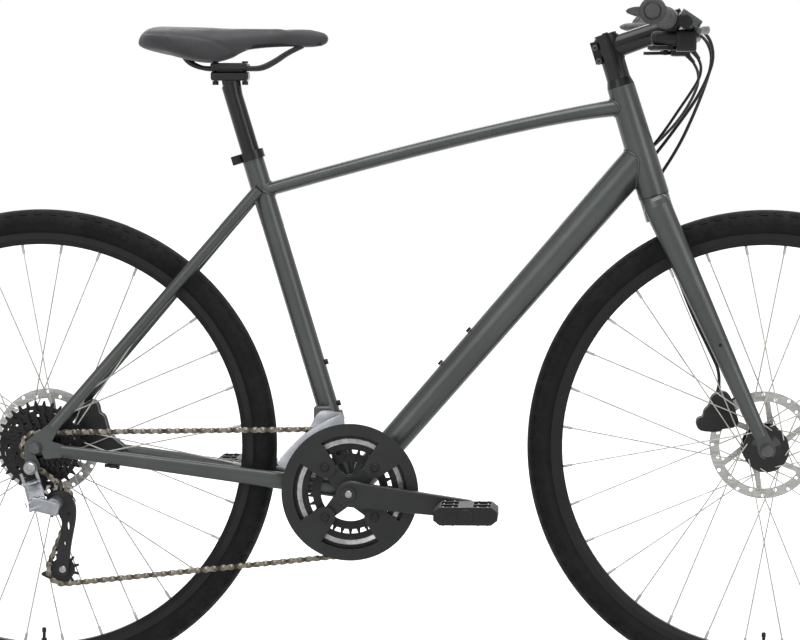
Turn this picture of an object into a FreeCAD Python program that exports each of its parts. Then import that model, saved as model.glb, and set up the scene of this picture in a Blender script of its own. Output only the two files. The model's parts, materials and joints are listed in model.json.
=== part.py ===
"""A hybrid bicycle with flat bar, disc brakes and a two-by-eight drivetrain.

Millimetres. +X is forward, +Y is the rider's left, +Z is up.
The origin is on the ground, midway between the two axles.
"""
import FreeCAD, Part
import math
import os

Vector = FreeCAD.Vector

# Layout of the frame
wheel_base = 1074.0
chain_stay_length = 467.5
bottom_bracket_drop = 64.0
seat_angle = 73.2
head_angle = 73.0
fork_offset = 49.0
crown_clearance = 37.0
head_tube_length = 168.0
seat_tube_length = 510.0
top_tube_seat_drop = 48.0
top_tube_head_rise = 137.5
down_tube_head_rise = 61.0

# Clearances
weld_gap = 0.2
running_gap = 0.3
floor_of_cut = 1.0

# Frame tubes
tube_wall = 1.8
head_tube_low_radius = 23.0
head_tube_high_radius = 20.5
head_tube_bore = 17.0
bearing_radius = 18.2
bearing_height = 8.0
top_tube_width = 32.0
top_tube_height = 20.5
top_tube_head_width = 36.0
top_tube_head_depth = 28.0
top_tube_bend_share = 0.726
top_tube_slope = 15.6
down_tube_low_depth = 41.0
down_tube_low_width = 38.0
down_tube_high_depth = 50.0
down_tube_high_width = 42.0
seat_tube_radius = 15.9
shell_radius = 21.0
shell_width = 73.0
shell_bore = 17.5
chain_stay_front_height = 28.0
chain_stay_front_width = 16.0
chain_stay_rear_height = 18.0
chain_stay_rear_width = 13.0
chain_stay_front_spread = 27.0
chain_stay_tyre_spread = 38.0
seat_stay_depth = 17.0
seat_stay_width = 13.0
seat_stay_top_spread = 18.0
dropout_thickness = 6.0
dropout_boss_radius = 17.0
rear_hub_width = 135.0
front_hub_width = 100.0
hanger_drop = 28.0
hanger_setback = 6.0

# Fork and cockpit
steerer_radius = 14.3
steerer_bore = 12.0
crown_radius = 22.0
crown_depth = 40.0
leg_spread = 52.0
leg_top_depth = 40.0
leg_top_width = 26.0
leg_low_depth = 20.0
leg_low_width = 13.0
fork_dropout_thickness = 7.0
spacer_height = 27.0
spacer_radius = 17.5
headset_cover_height = 11.0
stem_clamp_height = 37.0
stem_clamp_radius = 18.5
stem_reach = 101.4
stem_rise = 4.0
stem_neck_radius = 15.0
bar_clamp_radius = 22.5
bar_clamp_width = 46.0
bar_centre_radius = 15.9
bar_grip_radius = 11.1
bar_bore = 8.8
bar_width = 620.0
bar_straight_half = 80.0
bar_back_sweep = 40.0
bar_rise = 10.0
grip_length = 132.0
grip_radius = 16.0
grip_wing = 38.0
lever_to_grip = 13.0
lever_clamp_width = 14.0
lever_reach = 30.0
lever_drop = 12.0
lever_length = 96.0
shifter_to_lever = 33.0

# Wheels
tyre_height = 40.0
tyre_width = 40.0
tyre_wall = 3.0
bead_seat_radius = 311.0
rim_hook_height = 5.5
rim_depth = 12.0
rim_width = 25.0
rim_bead_width = 19.2
rim_wall = 1.8
spoke_count = 32
spoke_crosses = 3
spoke_radius = 1.0
nipple_radius = 2.0
nipple_length = 13.0
flange_radius = 34.0
spoke_circle_radius = 29.0
flange_thickness = 3.0
axle_radius = 4.8
front_flange_right = 34.5
front_flange_left = 21.5
rear_flange_right = 20.5
rear_flange_left = 34.5
rotor_radius = 80.0
rotor_thickness = 1.8
rotor_band = 15.0
rotor_bore = 17.3
front_rotor_inset = 10.5
rear_rotor_inset = 15.5
valve_length = 32.0
valve_radius = 2.6

# Drivetrain
chain_pitch = 12.7
link_count = 116
roller_radius = 3.8
plate_half_height = 4.1
plate_waist = 3.0
plate_thickness = 0.7
inner_plate_y = 1.3
outer_plate_y = 2.25
pin_radius = 1.8
pin_half_length = 3.3
ring_teeth = 46
small_ring_teeth = 30
cog_teeth = (11, 13, 15, 18, 21, 24, 28, 32)
pulley_teeth = 11
tooth_thickness = 1.3
chain_line = 52.0
small_ring_line = 44.5
cog_line = 61.5
cog_spacing = 4.8
freehub_radius = 16.0
crank_length = 175.0
crank_angle = -7.0
crank_thickness = 14.0
crank_line = 76.0
crank_boss_radius = 19.0
crank_end_radius = 14.0
spindle_radius = 8.4
bolt_circle_radius = 52.0
guard_outer_radius = 101.0
guard_inner_radius = 84.0
guard_thickness = 2.5
guard_arm_radius = 15.5
guard_shoulder_radius = 21.0
guard_line = 58.0
pedal_length = 92.0
pedal_width = 90.0
pedal_thickness = 26.0
pedal_spindle_radius = 6.0
pedal_barrel_radius = 13.0
guide_pulley_reach = 31.0
guide_pulley_drop = 80.0
cage_length = 100.0
cage_plate_radius = 13.0
link_length = 39.0
shift_swing = 54.0
front_shift_travel = 9.0
cage_plate_gap = 4.6
cage_plate_thickness = 2.0
pulley_bolt_radius = 3.0

# Saddle
seatpost_radius = 13.6
seatpost_insert = 110.0
seatpost_exposed = 116.0
seat_clamp_height = 13.0
seat_clamp_radius = 19.0
saddle_length = 282.0
saddle_setback = 132.0
saddle_width = 162.0
nose_width = 34.0
saddle_rail_height = 24.0
saddle_top_height = 59.0
rail_radius = 3.5
rail_spread = 22.0

# Cables
hose_radius = 2.5
housing_radius = 2.25

# Directions
forward = Vector(1, 0, 0)
left = Vector(0, 1, 0)
up = Vector(0, 0, 1)
head_tilt = math.radians(90.0 - head_angle)
seat_tilt = math.radians(90.0 - seat_angle)
steer_axis = Vector(-math.sin(head_tilt), 0, math.cos(head_tilt))
steer_front = Vector(math.cos(head_tilt), 0, math.sin(head_tilt))
seat_axis = Vector(-math.sin(seat_tilt), 0, math.cos(seat_tilt))
seat_front = Vector(math.cos(seat_tilt), 0, math.sin(seat_tilt))

# Sizes that follow
tyre_radius = bead_seat_radius + tyre_height
rim_edge_radius = bead_seat_radius + rim_hook_height
rim_inner_radius = bead_seat_radius - rim_depth
crown_height = tyre_radius + crown_clearance
bearing_gap = 1.0
head_low = crown_height + bearing_gap
head_high = head_low + head_tube_length
top_tube_head_height = head_low + top_tube_head_rise
down_tube_head_height = head_low + down_tube_head_rise
top_tube_seat_height = seat_tube_length - top_tube_seat_drop
seatpost_head_height = seat_tube_length + seatpost_exposed
lever_clamp_y = bar_width / 2 - grip_length - lever_to_grip
shifter_clamp_y = lever_clamp_y - shifter_to_lever

# Key points
rear_axle = Vector(-wheel_base / 2, 0, tyre_radius)
front_axle = Vector(wheel_base / 2, 0, tyre_radius)
stay_run = math.sqrt(chain_stay_length ** 2 - bottom_bracket_drop ** 2)
bottom_bracket = Vector(rear_axle.x + stay_run, 0, tyre_radius - bottom_bracket_drop)
steer_foot = Vector(front_axle.x - fork_offset / math.cos(head_tilt), 0, front_axle.z)


def steer_point(height, reach=0.0, side=0.0):
    """A point given along the steering axis, ahead of it and to the left."""
    return steer_foot + steer_axis * height + steer_front * reach + left * side


def seat_point(height, reach=0.0, side=0.0):
    """A point given along the seat tube from the bottom bracket."""
    return bottom_bracket + seat_axis * height + seat_front * reach + left * side


# Building blocks
def rod(start, end, radius):
    span = end - start
    return Part.makeCylinder(radius, span.Length, start, span)


def cone(start, end, start_radius, end_radius):
    span = end - start
    return Part.makeCone(start_radius, end_radius, span.Length, start, span)


def pipe(start, end, outer, inner):
    step = (end - start).normalize() * floor_of_cut
    return rod(start, end, outer).cut(rod(start - step, end + step, inner))


def block(centre, along, across, size):
    length, width, height = size
    body = Part.makeBox(length, width, height, Vector(-length / 2, -width / 2, -height / 2))
    turn = FreeCAD.Rotation(along, across, along.cross(across), "XYZ")
    body.Placement = FreeCAD.Placement(centre, turn)
    return body


def rounded_block(centre, along, across, size, radius):
    body = block(centre, along, across, size)
    return body.makeFillet(radius, body.Edges)


def section(centre, major, half_major, minor, half_minor):
    """An elliptical outline: the major half size is never the smaller one."""
    curve = Part.Ellipse(centre + major * half_major, centre + minor * half_minor, centre)
    return Part.Wire(curve.toShape())


def loft(wires):
    return Part.makeLoft(wires, True, False)


def fused(shapes):
    body = shapes[0].multiFuse(shapes[1:])
    return body.removeSplitter()


def mirrored(shape):
    """The same piece on the other side of the bicycle's middle plane."""
    return shape.mirror(Vector(0, 0, 0), left)


def polar(centre, radius, angle, y=0.0):
    return Vector(centre.x + radius * math.cos(angle), y, centre.z + radius * math.sin(angle))


def prism(points, y, thickness):
    """A plate across Y from an outline of (x, z) points."""
    corners = [Vector(x, y, z) for x, z in points]
    outline = Part.makePolygon(corners + [corners[0]])
    return Part.Face(outline).extrude(left * thickness)


def turned(centre, profile):
    """A body turned about a line along Y, from an outline of (y, radius) points."""
    corners = [Vector(centre.x + radius, y, centre.z) for y, radius in profile]
    outline = Part.makePolygon(corners + [corners[0]])
    return Part.Face(outline).revolve(centre, left, 360)


def disc(centre, y, thickness, radius):
    return Part.makeCylinder(radius, thickness, Vector(centre.x, y, centre.z), left)


def washer(centre, y, thickness, outer, inner):
    hole = disc(centre, y - floor_of_cut, thickness + 2 * floor_of_cut, inner)
    return disc(centre, y, thickness, outer).cut(hole)


def link_plate(first, first_radius, second, second_radius, y, thickness):
    """A flat arm round two circles, with straight sides between them."""
    heading = math.atan2(second.z - first.z, second.x - first.x)
    distance = math.hypot(second.x - first.x, second.z - first.z)
    spread = math.acos((first_radius - second_radius) / distance)
    second_a = polar(second, second_radius, heading + spread, y)
    second_b = polar(second, second_radius, heading - spread, y)
    first_a = polar(first, first_radius, heading + spread, y)
    first_b = polar(first, first_radius, heading - spread, y)
    second_far = polar(second, second_radius, heading, y)
    first_far = polar(first, first_radius, heading + math.pi, y)
    edges = [
        Part.LineSegment(first_a, second_a).toShape(),
        Part.Arc(second_a, second_far, second_b).toShape(),
        Part.LineSegment(second_b, first_b).toShape(),
        Part.Arc(first_b, first_far, first_a).toShape(),
    ]
    return Part.Face(Part.Wire(edges)).extrude(left * thickness)


def rounded_route(points, reach_share=0.45):
    """Straight runs joined by tangent arcs, each as large as its two runs allow."""
    edges = []
    radii = []
    start = points[0]
    for before, corner, after in zip(points, points[1:], points[2:]):
        back = (before - corner).normalize()
        ahead = (after - corner).normalize()
        trim = reach_share * min((before - corner).Length, (after - corner).Length)
        half_turn = (math.pi - back.getAngle(ahead)) / 2
        radius = trim / math.tan(half_turn)
        radii.append(radius)
        bisector = (back + ahead).normalize()
        middle = corner + bisector * (radius / math.cos(half_turn) - radius)
        edges.append(Part.LineSegment(start, corner + back * trim).toShape())
        edges.append(Part.Arc(corner + back * trim, middle, corner + ahead * trim).toShape())
        start = corner + ahead * trim
    edges.append(Part.LineSegment(start, points[-1]).toShape())
    return Part.Wire(edges), radii


def swept(route, radius):
    """A round bar along a route of lines and arcs."""
    first = route.Edges[0]
    start = first.valueAt(first.FirstParameter)
    heading = first.tangentAt(first.FirstParameter)
    outline = Part.Wire(Part.Circle(start, heading, radius).toShape())
    return route.makePipeShell([outline], True, False)


def cable(name, points, radius):
    route, radii = rounded_route(points)
    body = swept(route, radius)
    share = body.Volume / (math.pi * radius ** 2 * route.Length)
    print(name, "length", round(route.Length), "least bend", round(min(radii)), "volume share", round(share, 3))
    return body


# Frame
def head_tube_solid(grow=0.0):
    low = steer_point(head_low)
    high = steer_point(head_high)
    return cone(low, high, head_tube_low_radius + grow, head_tube_high_radius + grow)


def head_tube():
    body = head_tube_solid()
    body = body.cut(rod(steer_point(head_low - 1), steer_point(head_high + 1), head_tube_bore))
    seat_radius = bearing_radius + weld_gap
    body = body.cut(rod(steer_point(head_low - 1), steer_point(head_low + bearing_height), seat_radius))
    return body.cut(rod(steer_point(head_high - bearing_height), steer_point(head_high + 1), seat_radius))


def headset_bearings():
    inner = steerer_radius + running_gap
    low = pipe(steer_point(head_low), steer_point(head_low + bearing_height - weld_gap), bearing_radius, inner)
    high = pipe(steer_point(head_high - bearing_height + weld_gap), steer_point(head_high), bearing_radius, inner)
    return Part.makeCompound([low, high])


def seat_tube_solid(grow=0.0):
    return rod(bottom_bracket, seat_point(seat_tube_length), seat_tube_radius + grow)


def shell_solid(grow=0.0):
    return disc(bottom_bracket, -shell_width / 2 - grow, shell_width + 2 * grow, shell_radius + grow)


def seat_tube():
    body = seat_tube_solid().cut(shell_solid(weld_gap))
    bore = rod(bottom_bracket, seat_point(seat_tube_length + 1), seatpost_radius + running_gap)
    return body.cut(bore)


def bottom_bracket_shell():
    return washer(bottom_bracket, -shell_width / 2, shell_width, shell_radius, shell_bore)


def bottom_bracket_cartridge():
    half = shell_width / 2
    flange = 3.0
    outer = shell_bore - weld_gap
    inner = spindle_radius + running_gap
    rim = shell_radius - 1.0
    profile = [(-half - flange, inner), (-half - flange, rim), (-half - weld_gap, rim),
               (-half - weld_gap, outer), (half + weld_gap, outer), (half + weld_gap, rim),
               (half + flange, rim), (half + flange, inner)]
    return turned(bottom_bracket, profile)


def top_tube_solid(shrink=0.0):
    """Slopes up from the seat tube, eases level and deepens at the head tube."""
    start = seat_point(top_tube_seat_height)
    end = steer_point(top_tube_head_height)
    run = (end.x - start.x) * top_tube_bend_share
    bend = Vector(start.x + run, 0, start.z + run * math.tan(math.radians(top_tube_slope)))
    stations = 6
    wires = []
    for index in range(stations):
        share = index / (stations - 1)
        centre = start * (1 - share) ** 2 + bend * (2 * share * (1 - share)) + end * share ** 2
        way = ((bend - start) * (1 - share) + (end - bend) * share).normalize()
        flare = max(0.0, (share - 0.6) / 0.4) ** 2
        half_width = (top_tube_width + flare * (top_tube_head_width - top_tube_width)) / 2
        half_height = (top_tube_height + flare * (top_tube_head_depth - top_tube_height)) / 2
        wires.append(section(centre, left, half_width - shrink, way.cross(left), half_height - shrink))
    return loft(wires)


def top_tube():
    body = top_tube_solid().cut(top_tube_solid(tube_wall))
    body = body.cut(seat_tube_solid(weld_gap))
    return body.cut(head_tube_solid(weld_gap))


def down_tube_solid(shrink=0.0):
    start = bottom_bracket
    end = steer_point(down_tube_head_height)
    slope = (end - start).normalize()
    rise = slope.cross(left)
    low = section(start, rise, down_tube_low_depth / 2 - shrink, left, down_tube_low_width / 2 - shrink)
    high = section(end, rise, down_tube_high_depth / 2 - shrink, left, down_tube_high_width / 2 - shrink)
    return loft([low, high])


def down_tube():
    body = down_tube_solid().cut(down_tube_solid(tube_wall))
    for neighbour in (shell_solid(weld_gap), seat_tube_solid(weld_gap), head_tube_solid(weld_gap)):
        body = body.cut(neighbour)
    return largest(body)


def together(first, second):
    """Two sets of separate solids in one node."""
    return Part.makeCompound(list(first.Solids) + list(second.Solids))


def largest(shape):
    """The main solid of a cut, without loose slivers."""
    return max(shape.Solids, key=lambda solid: solid.Volume)


dropout_y = rear_hub_width / 2
chain_stay_end = Vector(rear_axle.x + 38, -dropout_y - 4, rear_axle.z - 4)
seat_stay_end = Vector(rear_axle.x + 26, -dropout_y - 7, rear_axle.z + 31)
hanger_bolt = Vector(rear_axle.x - hanger_setback, 0, rear_axle.z - hanger_drop)


def chain_stay_solid(shrink=0.0):
    """The right chain stay, bowed out round the tyre."""
    start = bottom_bracket - left * chain_stay_front_spread
    end = chain_stay_end
    heading = end - start
    tyre_share = 0.27
    middle_share = 0.65
    beside_tyre = start + heading * tyre_share
    beside_tyre.y = -chain_stay_tyre_spread
    middle = start + heading * middle_share
    middle.y = -0.5 * (chain_stay_tyre_spread - end.y)
    stations = [start, beside_tyre, middle, end]
    wires = []
    for station in stations:
        share = (start.x - station.x) / (start.x - end.x)
        height = chain_stay_front_height + share * (chain_stay_rear_height - chain_stay_front_height)
        width = chain_stay_front_width + share * (chain_stay_rear_width - chain_stay_front_width)
        wires.append(section(station, up, height / 2 - shrink, left, width / 2 - shrink))
    return loft(wires)


def seat_stay_solid(shrink=0.0):
    """The right seat stay, straight from the dropout to the side of the seat tube."""
    start = seat_stay_end
    end = seat_point(top_tube_seat_height + 3, -4, -seat_stay_top_spread)
    slope = (end - start).normalize()
    side = slope.cross(slope.cross(left)).normalize() * -1
    rise = slope.cross(side)
    wires = []
    for centre in (start, end):
        wires.append(section(centre, rise, seat_stay_depth / 2 - shrink, side, seat_stay_width / 2 - shrink))
    return loft(wires)


def right_dropout():
    """Plate that holds the axle, the two stays and the derailleur hanger."""
    y = -dropout_y - dropout_thickness
    to_chain_stay = link_plate(rear_axle, dropout_boss_radius, chain_stay_end, 9.5, y, dropout_thickness)
    to_seat_stay = link_plate(rear_axle, dropout_boss_radius, seat_stay_end, 8.0, y, dropout_thickness)
    to_hanger = link_plate(rear_axle, dropout_boss_radius, hanger_bolt, 9.0, y, dropout_thickness)
    body = fused([to_chain_stay, to_seat_stay, to_hanger])
    body = body.cut(axle_slot(rear_axle, y, dropout_thickness, Vector(0.45, 0, -0.9)))
    bore = 5.0
    return body.cut(disc(hanger_bolt, y - 1, dropout_thickness + 2, bore))


def left_dropout():
    y = -dropout_y - dropout_thickness
    to_chain_stay = link_plate(rear_axle, dropout_boss_radius, chain_stay_end, 9.5, y, dropout_thickness)
    to_seat_stay = link_plate(rear_axle, dropout_boss_radius, seat_stay_end, 8.0, y, dropout_thickness)
    body = fused([to_chain_stay, to_seat_stay])
    body = body.cut(axle_slot(rear_axle, y, dropout_thickness, Vector(0.45, 0, -0.9)))
    return mirrored(body)


def axle_slot(axle, y, thickness, heading):
    """The open slot that the axle drops out of."""
    half = axle_radius + running_gap
    way = Vector(heading).normalize()
    reach = 30.0
    centre = Vector(axle.x, y + thickness / 2, axle.z) + way * (reach / 2)
    slot = block(centre, way, left, (reach, thickness + 2, 2 * half))
    return slot.fuse(disc(axle, y - 1, thickness + 2, half))


def dropouts():
    return Part.makeCompound([right_dropout(), left_dropout()])


def chain_stays():
    body = chain_stay_solid().cut(chain_stay_solid(tube_wall))
    body = body.cut(disc(bottom_bracket, -shell_width, 2 * shell_width, shell_radius + weld_gap))
    body = largest(body.cut(right_dropout()))
    return Part.makeCompound([body, mirrored(body)])


def seat_stays():
    body = seat_stay_solid().cut(seat_stay_solid(tube_wall))
    body = body.cut(seat_tube_solid(weld_gap))
    body = body.cut(top_tube_solid(-weld_gap))
    body = largest(body.cut(right_dropout()))
    return Part.makeCompound([body, mirrored(body)])


def seat_clamp():
    """Split collar with its pinch bolt behind the tube."""
    low = seat_point(seat_tube_length + weld_gap)
    high = seat_point(seat_tube_length + weld_gap + seat_clamp_height)
    body = rod(low, high, seat_clamp_radius)
    ear_size = (22.0, 18.0, seat_clamp_height)
    mid_height = seat_tube_length + weld_gap + seat_clamp_height / 2
    ear = block(seat_point(mid_height, -seat_clamp_radius), seat_front, left, ear_size)
    body = body.fuse(ear)
    body = body.cut(rod(seat_point(seat_tube_length - 5), seat_point(seat_tube_length + 40),
                        seatpost_radius + running_gap))
    split = block(seat_point(mid_height, -seat_clamp_radius), seat_front, left, (34.0, 2.0, 40.0))
    body = body.cut(split)
    bolt_reach = -seat_clamp_radius - 5
    bolt_hole = rod(seat_point(mid_height, bolt_reach, -20), seat_point(mid_height, bolt_reach, 20), 2.7)
    body = body.cut(bolt_hole)
    shank = rod(seat_point(mid_height, bolt_reach, -12), seat_point(mid_height, bolt_reach, 9), 2.5)
    head = rod(seat_point(mid_height, bolt_reach, -14), seat_point(mid_height, bolt_reach, -9.2), 4.5)
    return Part.makeCompound([body, shank.fuse(head)])


def bottle_bolts():
    """Two bolts on the seat tube and two on the down tube."""
    heads = []
    head_radius = 4.2
    head_height = 4.0
    for height in (128.0, 192.0):
        foot = seat_point(height, seat_tube_radius + weld_gap)
        heads.append(rod(foot, foot + seat_front * head_height, head_radius))
    slope = (steer_point(down_tube_head_height) - bottom_bracket).normalize()
    rise = slope.cross(left)
    length = (steer_point(down_tube_head_height) - bottom_bracket).Length
    for height in (228.0, 292.0):
        share = height / length
        depth = down_tube_low_depth + share * (down_tube_high_depth - down_tube_low_depth)
        foot = bottom_bracket + slope * height + rise * (depth / 2 + weld_gap)
        heads.append(rod(foot, foot + rise * head_height, head_radius))
    return Part.makeCompound(heads)


# Brakes
def caliper(rotor_y, centre, outward, bracket_foot):
    """A two-piston caliper astride the rotor, with its mounting foot."""
    along = outward.cross(left)
    body = rounded_block(Vector(centre.x, rotor_y, centre.z), along, left, (48.0, 34.0, 34.0), 5.0)
    slot_centre = Vector(centre.x, rotor_y, centre.z) - outward * 8
    body = body.cut(block(slot_centre, along, left, (60.0, rotor_thickness + 2.4, 36.0)))
    bracket = rod(Vector(centre.x, rotor_y + 11, centre.z), bracket_foot, 7.0)
    return fused([body, bracket])


rear_rotor_y = dropout_y - rear_rotor_inset
front_rotor_y = front_hub_width / 2 - front_rotor_inset


def rear_caliper():
    centre = Vector(rear_axle.x + 82, 0, rear_axle.z + 30)
    outward = (centre - rear_axle).normalize()
    foot = Vector(rear_axle.x + 99, 64, rear_axle.z - 6)
    body = caliper(rear_rotor_y, centre, outward, foot)
    return largest(body.cut(mirrored(chain_stay_solid(-weld_gap))))


def front_caliper_centre():
    return Vector(front_axle.x - 60, 0, front_axle.z + 52)


def caliper_inlet():
    """Where the front hose reaches the caliper."""
    return front_caliper_centre() + Vector(-9, front_rotor_y + 10, 14)


def front_caliper():
    centre = front_caliper_centre()
    outward = (centre - front_axle).normalize()
    foot = Vector(front_axle.x - 36, 54, front_axle.z + 66)
    body = caliper(front_rotor_y, centre, outward, foot)
    return largest(body.cut(mirrored(fork_leg_solid(weld_gap))))


# Fork
fork_dropout_y = front_hub_width / 2


def fork_leg_ends():
    top = steer_point(crown_height - 14, 0, -leg_spread)
    bottom = Vector(front_axle.x - 8, -fork_dropout_y - fork_dropout_thickness / 2, front_axle.z + 19)
    return top, bottom


def fork_leg_solid(grow=0.0):
    """The right blade: straight, deep at the shoulder and slim at the dropout."""
    top, bottom = fork_leg_ends()
    slope = (bottom - top).normalize()
    front = left.cross(slope).normalize()
    side = slope.cross(front).normalize()

    def ring(reach, depth, width):
        return section(top + slope * reach, front, depth / 2 + grow, side, width / 2 + grow)

    length = (bottom - top).Length
    widest = ring(0, leg_top_depth, leg_top_width)
    blade = loft([widest, ring(length, leg_low_depth, leg_low_width)])
    shoulder = ring(-8 - grow, leg_top_depth * 0.9, leg_top_width * 0.84)
    tip = ring(-13 - grow, leg_top_depth * 0.66, leg_top_width * 0.5)
    cap = Part.makeLoft([widest, shoulder, tip], True, True)
    return blade.fuse(cap)


def fork_leg():
    y = -fork_dropout_y - fork_dropout_thickness
    foot = Vector(front_axle.x - 8, 0, front_axle.z + 24)
    plate = link_plate(front_axle, 13.0, foot, 9.0, y, fork_dropout_thickness)
    body = fork_leg_solid().fuse(plate)
    return body.cut(axle_slot(front_axle, y - 5, fork_dropout_thickness + 10, Vector(0.25, 0, -1)))


def eyelet_hole():
    """Threaded hole in the outside of each blade for a rack or mudguard stay."""
    top, bottom = fork_leg_ends()
    place = top + (bottom - top) * 0.6
    return Part.makeCylinder(2.5, 14.0, Vector(place.x, -leg_spread - 14, place.z), left)


def fork_legs():
    body = fork_leg().cut(eyelet_hole())
    return Part.makeCompound([body, mirrored(body)])


def fork_crown():
    """Crown and steerer in one piece."""
    base = rod(steer_point(crown_height - crown_depth + 6), steer_point(crown_height), crown_radius)
    half = leg_spread - 3
    centre = steer_point(crown_height - crown_depth / 2)
    bar = loft([section(centre + left * y, steer_front, 21.0, steer_axis, 17.0) for y in (-half, half)])
    steerer = rod(steer_point(crown_height - 2), steer_point(stem_top), steerer_radius)
    body = fused([base, bar, steerer])
    leg = fork_leg_solid(weld_gap)
    body = largest(body.cut(leg).cut(mirrored(leg)))
    bore = rod(steer_point(crown_height - crown_depth - 5), steer_point(stem_top + 1), steerer_bore)
    return body.cut(bore)


cover_low = head_high + 0.5
spacer_low = cover_low + headset_cover_height + weld_gap
stem_low = spacer_low + spacer_height + weld_gap
stem_top = stem_low + stem_clamp_height
bar_height = (stem_low + stem_top) / 2 + stem_rise


def headset_spacers():
    """Tapered cover over the upper bearing, spacers and the cap on the stem."""
    inner = steerer_radius + weld_gap
    cover = cone(steer_point(cover_low), steer_point(cover_low + headset_cover_height),
                 head_tube_high_radius, spacer_radius)
    bore = rod(steer_point(cover_low - 1), steer_point(stem_low + 1), inner)
    spacer = rod(steer_point(spacer_low), steer_point(spacer_low + spacer_height), spacer_radius)
    cap_low = stem_top + weld_gap
    cap = rod(steer_point(cap_low), steer_point(cap_low + 4), spacer_radius - 1)
    bolt = rod(steer_point(cap_low + 4), steer_point(cap_low + 6), 4.5)
    return Part.makeCompound([cover.cut(bore), spacer.cut(bore), cap.fuse(bolt)])


def stem():
    """Clamp on the steerer, neck and the rear half of the bar clamp."""
    clamp = rod(steer_point(stem_low), steer_point(stem_top), stem_clamp_radius)
    bar = steer_point(bar_height, stem_reach)
    middle = steer_point((stem_low + stem_top) / 2)
    neck = cone(middle, bar, stem_neck_radius + 2, stem_neck_radius)
    half = bar_clamp_width / 2
    seat = rod(bar - left * half, bar + left * half, bar_clamp_radius)
    ear = block(steer_point((stem_low + stem_top) / 2, -stem_clamp_radius), steer_front, left,
                (14.0, 20.0, stem_clamp_height - 4))
    body = fused([clamp, neck, seat, ear])
    body = body.cut(rod(steer_point(stem_low - 1), steer_point(stem_top + 1), steerer_radius + weld_gap))
    body = body.cut(rod(bar - left * 40, bar + left * 40, bar_centre_radius + weld_gap))
    heading = (bar - middle).normalize()
    body = body.cut(block(bar + heading * 25, heading, left, (50.0, 80.0, 70.0)))
    slit = block(steer_point((stem_low + stem_top) / 2, -stem_clamp_radius - 2), steer_front, left,
                 (22.0, 2.0, 80.0))
    return largest(body.cut(slit))


def stem_faceplate():
    """Front half of the bar clamp, its four bolts and the two pinch bolts."""
    bar = steer_point(bar_height, stem_reach)
    middle = steer_point((stem_low + stem_top) / 2)
    heading = (bar - middle).normalize()
    rise = heading.cross(left) * -1
    half = bar_clamp_width / 2
    plate = rod(bar - left * half, bar + left * half, bar_clamp_radius)
    plate = plate.cut(rod(bar - left * 40, bar + left * 40, bar_centre_radius + weld_gap))
    split = 1.2
    plate = plate.cut(block(bar - heading * (25 - split), heading, left, (50.0, 80.0, 70.0)))
    bolts = []
    for side in (-1, 1):
        for level in (-1, 1):
            seat = bar + left * (side * 16) + rise * (level * (bar_centre_radius + 3.5))
            plate = plate.cut(rod(seat + heading * 5, seat + heading * 30, 2.8 + weld_gap))
            bolts.append(rod(seat + heading * (5 + weld_gap), seat + heading * 15, 2.8))
    for level in (-10, 10):
        seat = steer_point((stem_low + stem_top) / 2 + level, -stem_clamp_radius - 1, -10)
        bolts.append(rod(seat - left * 3.5, seat - left * weld_gap, 4.0))
    return Part.makeCompound([largest(plate)] + bolts)


bar_middle = steer_point(bar_height, stem_reach)
bar_bend = bar_middle + left * bar_straight_half
bar_end = bar_middle + left * (bar_width / 2) - forward * bar_back_sweep + up * bar_rise
bar_slope = (bar_end - bar_bend).normalize()


def bar_point(y, ahead=0.0, above=0.0):
    """A point beside the swept part of the bar on the left, at its distance from the middle."""
    along = (y - bar_bend.y) / bar_slope.y
    return bar_bend + bar_slope * along + forward * ahead + up * above


def bar_half(centre_radius, grip_radius_here):
    cone_start = bar_clamp_width / 2 + 6
    cone_end = cone_start + 32
    centre = rod(bar_middle, bar_middle + left * cone_start, centre_radius)
    taper = cone(bar_middle + left * cone_start, bar_middle + left * cone_end, centre_radius, grip_radius_here)
    route, radii = rounded_route([bar_middle + left * cone_end, bar_bend, bar_end])
    return fused([centre, taper, swept(route, grip_radius_here)])


def handlebar():
    half = bar_half(bar_centre_radius, bar_grip_radius).cut(bar_half(bar_centre_radius - 2.4, bar_bore))
    return half.fuse(mirrored(half)).removeSplitter()


def left_grip():
    """Rubber grip with a flat wing behind its outer end, and the end cap."""
    inner = bar_end - bar_slope * grip_length
    outer = bar_end - bar_slope * 1.0
    sleeve = rod(inner, outer, grip_radius - 1.5)
    flange = rod(outer - bar_slope * 16, outer, grip_radius + 1.5)
    lock = rod(inner, inner + bar_slope * 9, grip_radius)
    back = left.cross(up) * -1
    wires = []
    for share, reach in ((0.2, grip_wing * 0.4), (0.6, grip_wing * 0.8), (0.97, grip_wing)):
        centre = inner + bar_slope * (grip_length * share) + back * (reach / 2)
        wires.append(section(centre, back, reach / 2, up, 6.5))
    wing = loft(wires)
    body = fused([sleeve, flange, lock, wing])
    body = body.cut(rod(inner - bar_slope * 5, bar_end + bar_slope * 5, bar_grip_radius + weld_gap))
    cap = rod(bar_end + bar_slope * weld_gap, bar_end + bar_slope * 3, grip_radius - 4)
    return Part.makeCompound([largest(body), cap])


def grips():
    grip = left_grip()
    return Part.makeCompound(list(grip.Solids) + list(mirrored(grip).Solids))


def lever_pivot():
    return bar_point(lever_clamp_y - 34, lever_reach + 4, -lever_drop)


def lever_outlet():
    """Where the brake hose leaves the left lever."""
    return bar_point(lever_clamp_y - 62, lever_reach - 2, -4)


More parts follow.
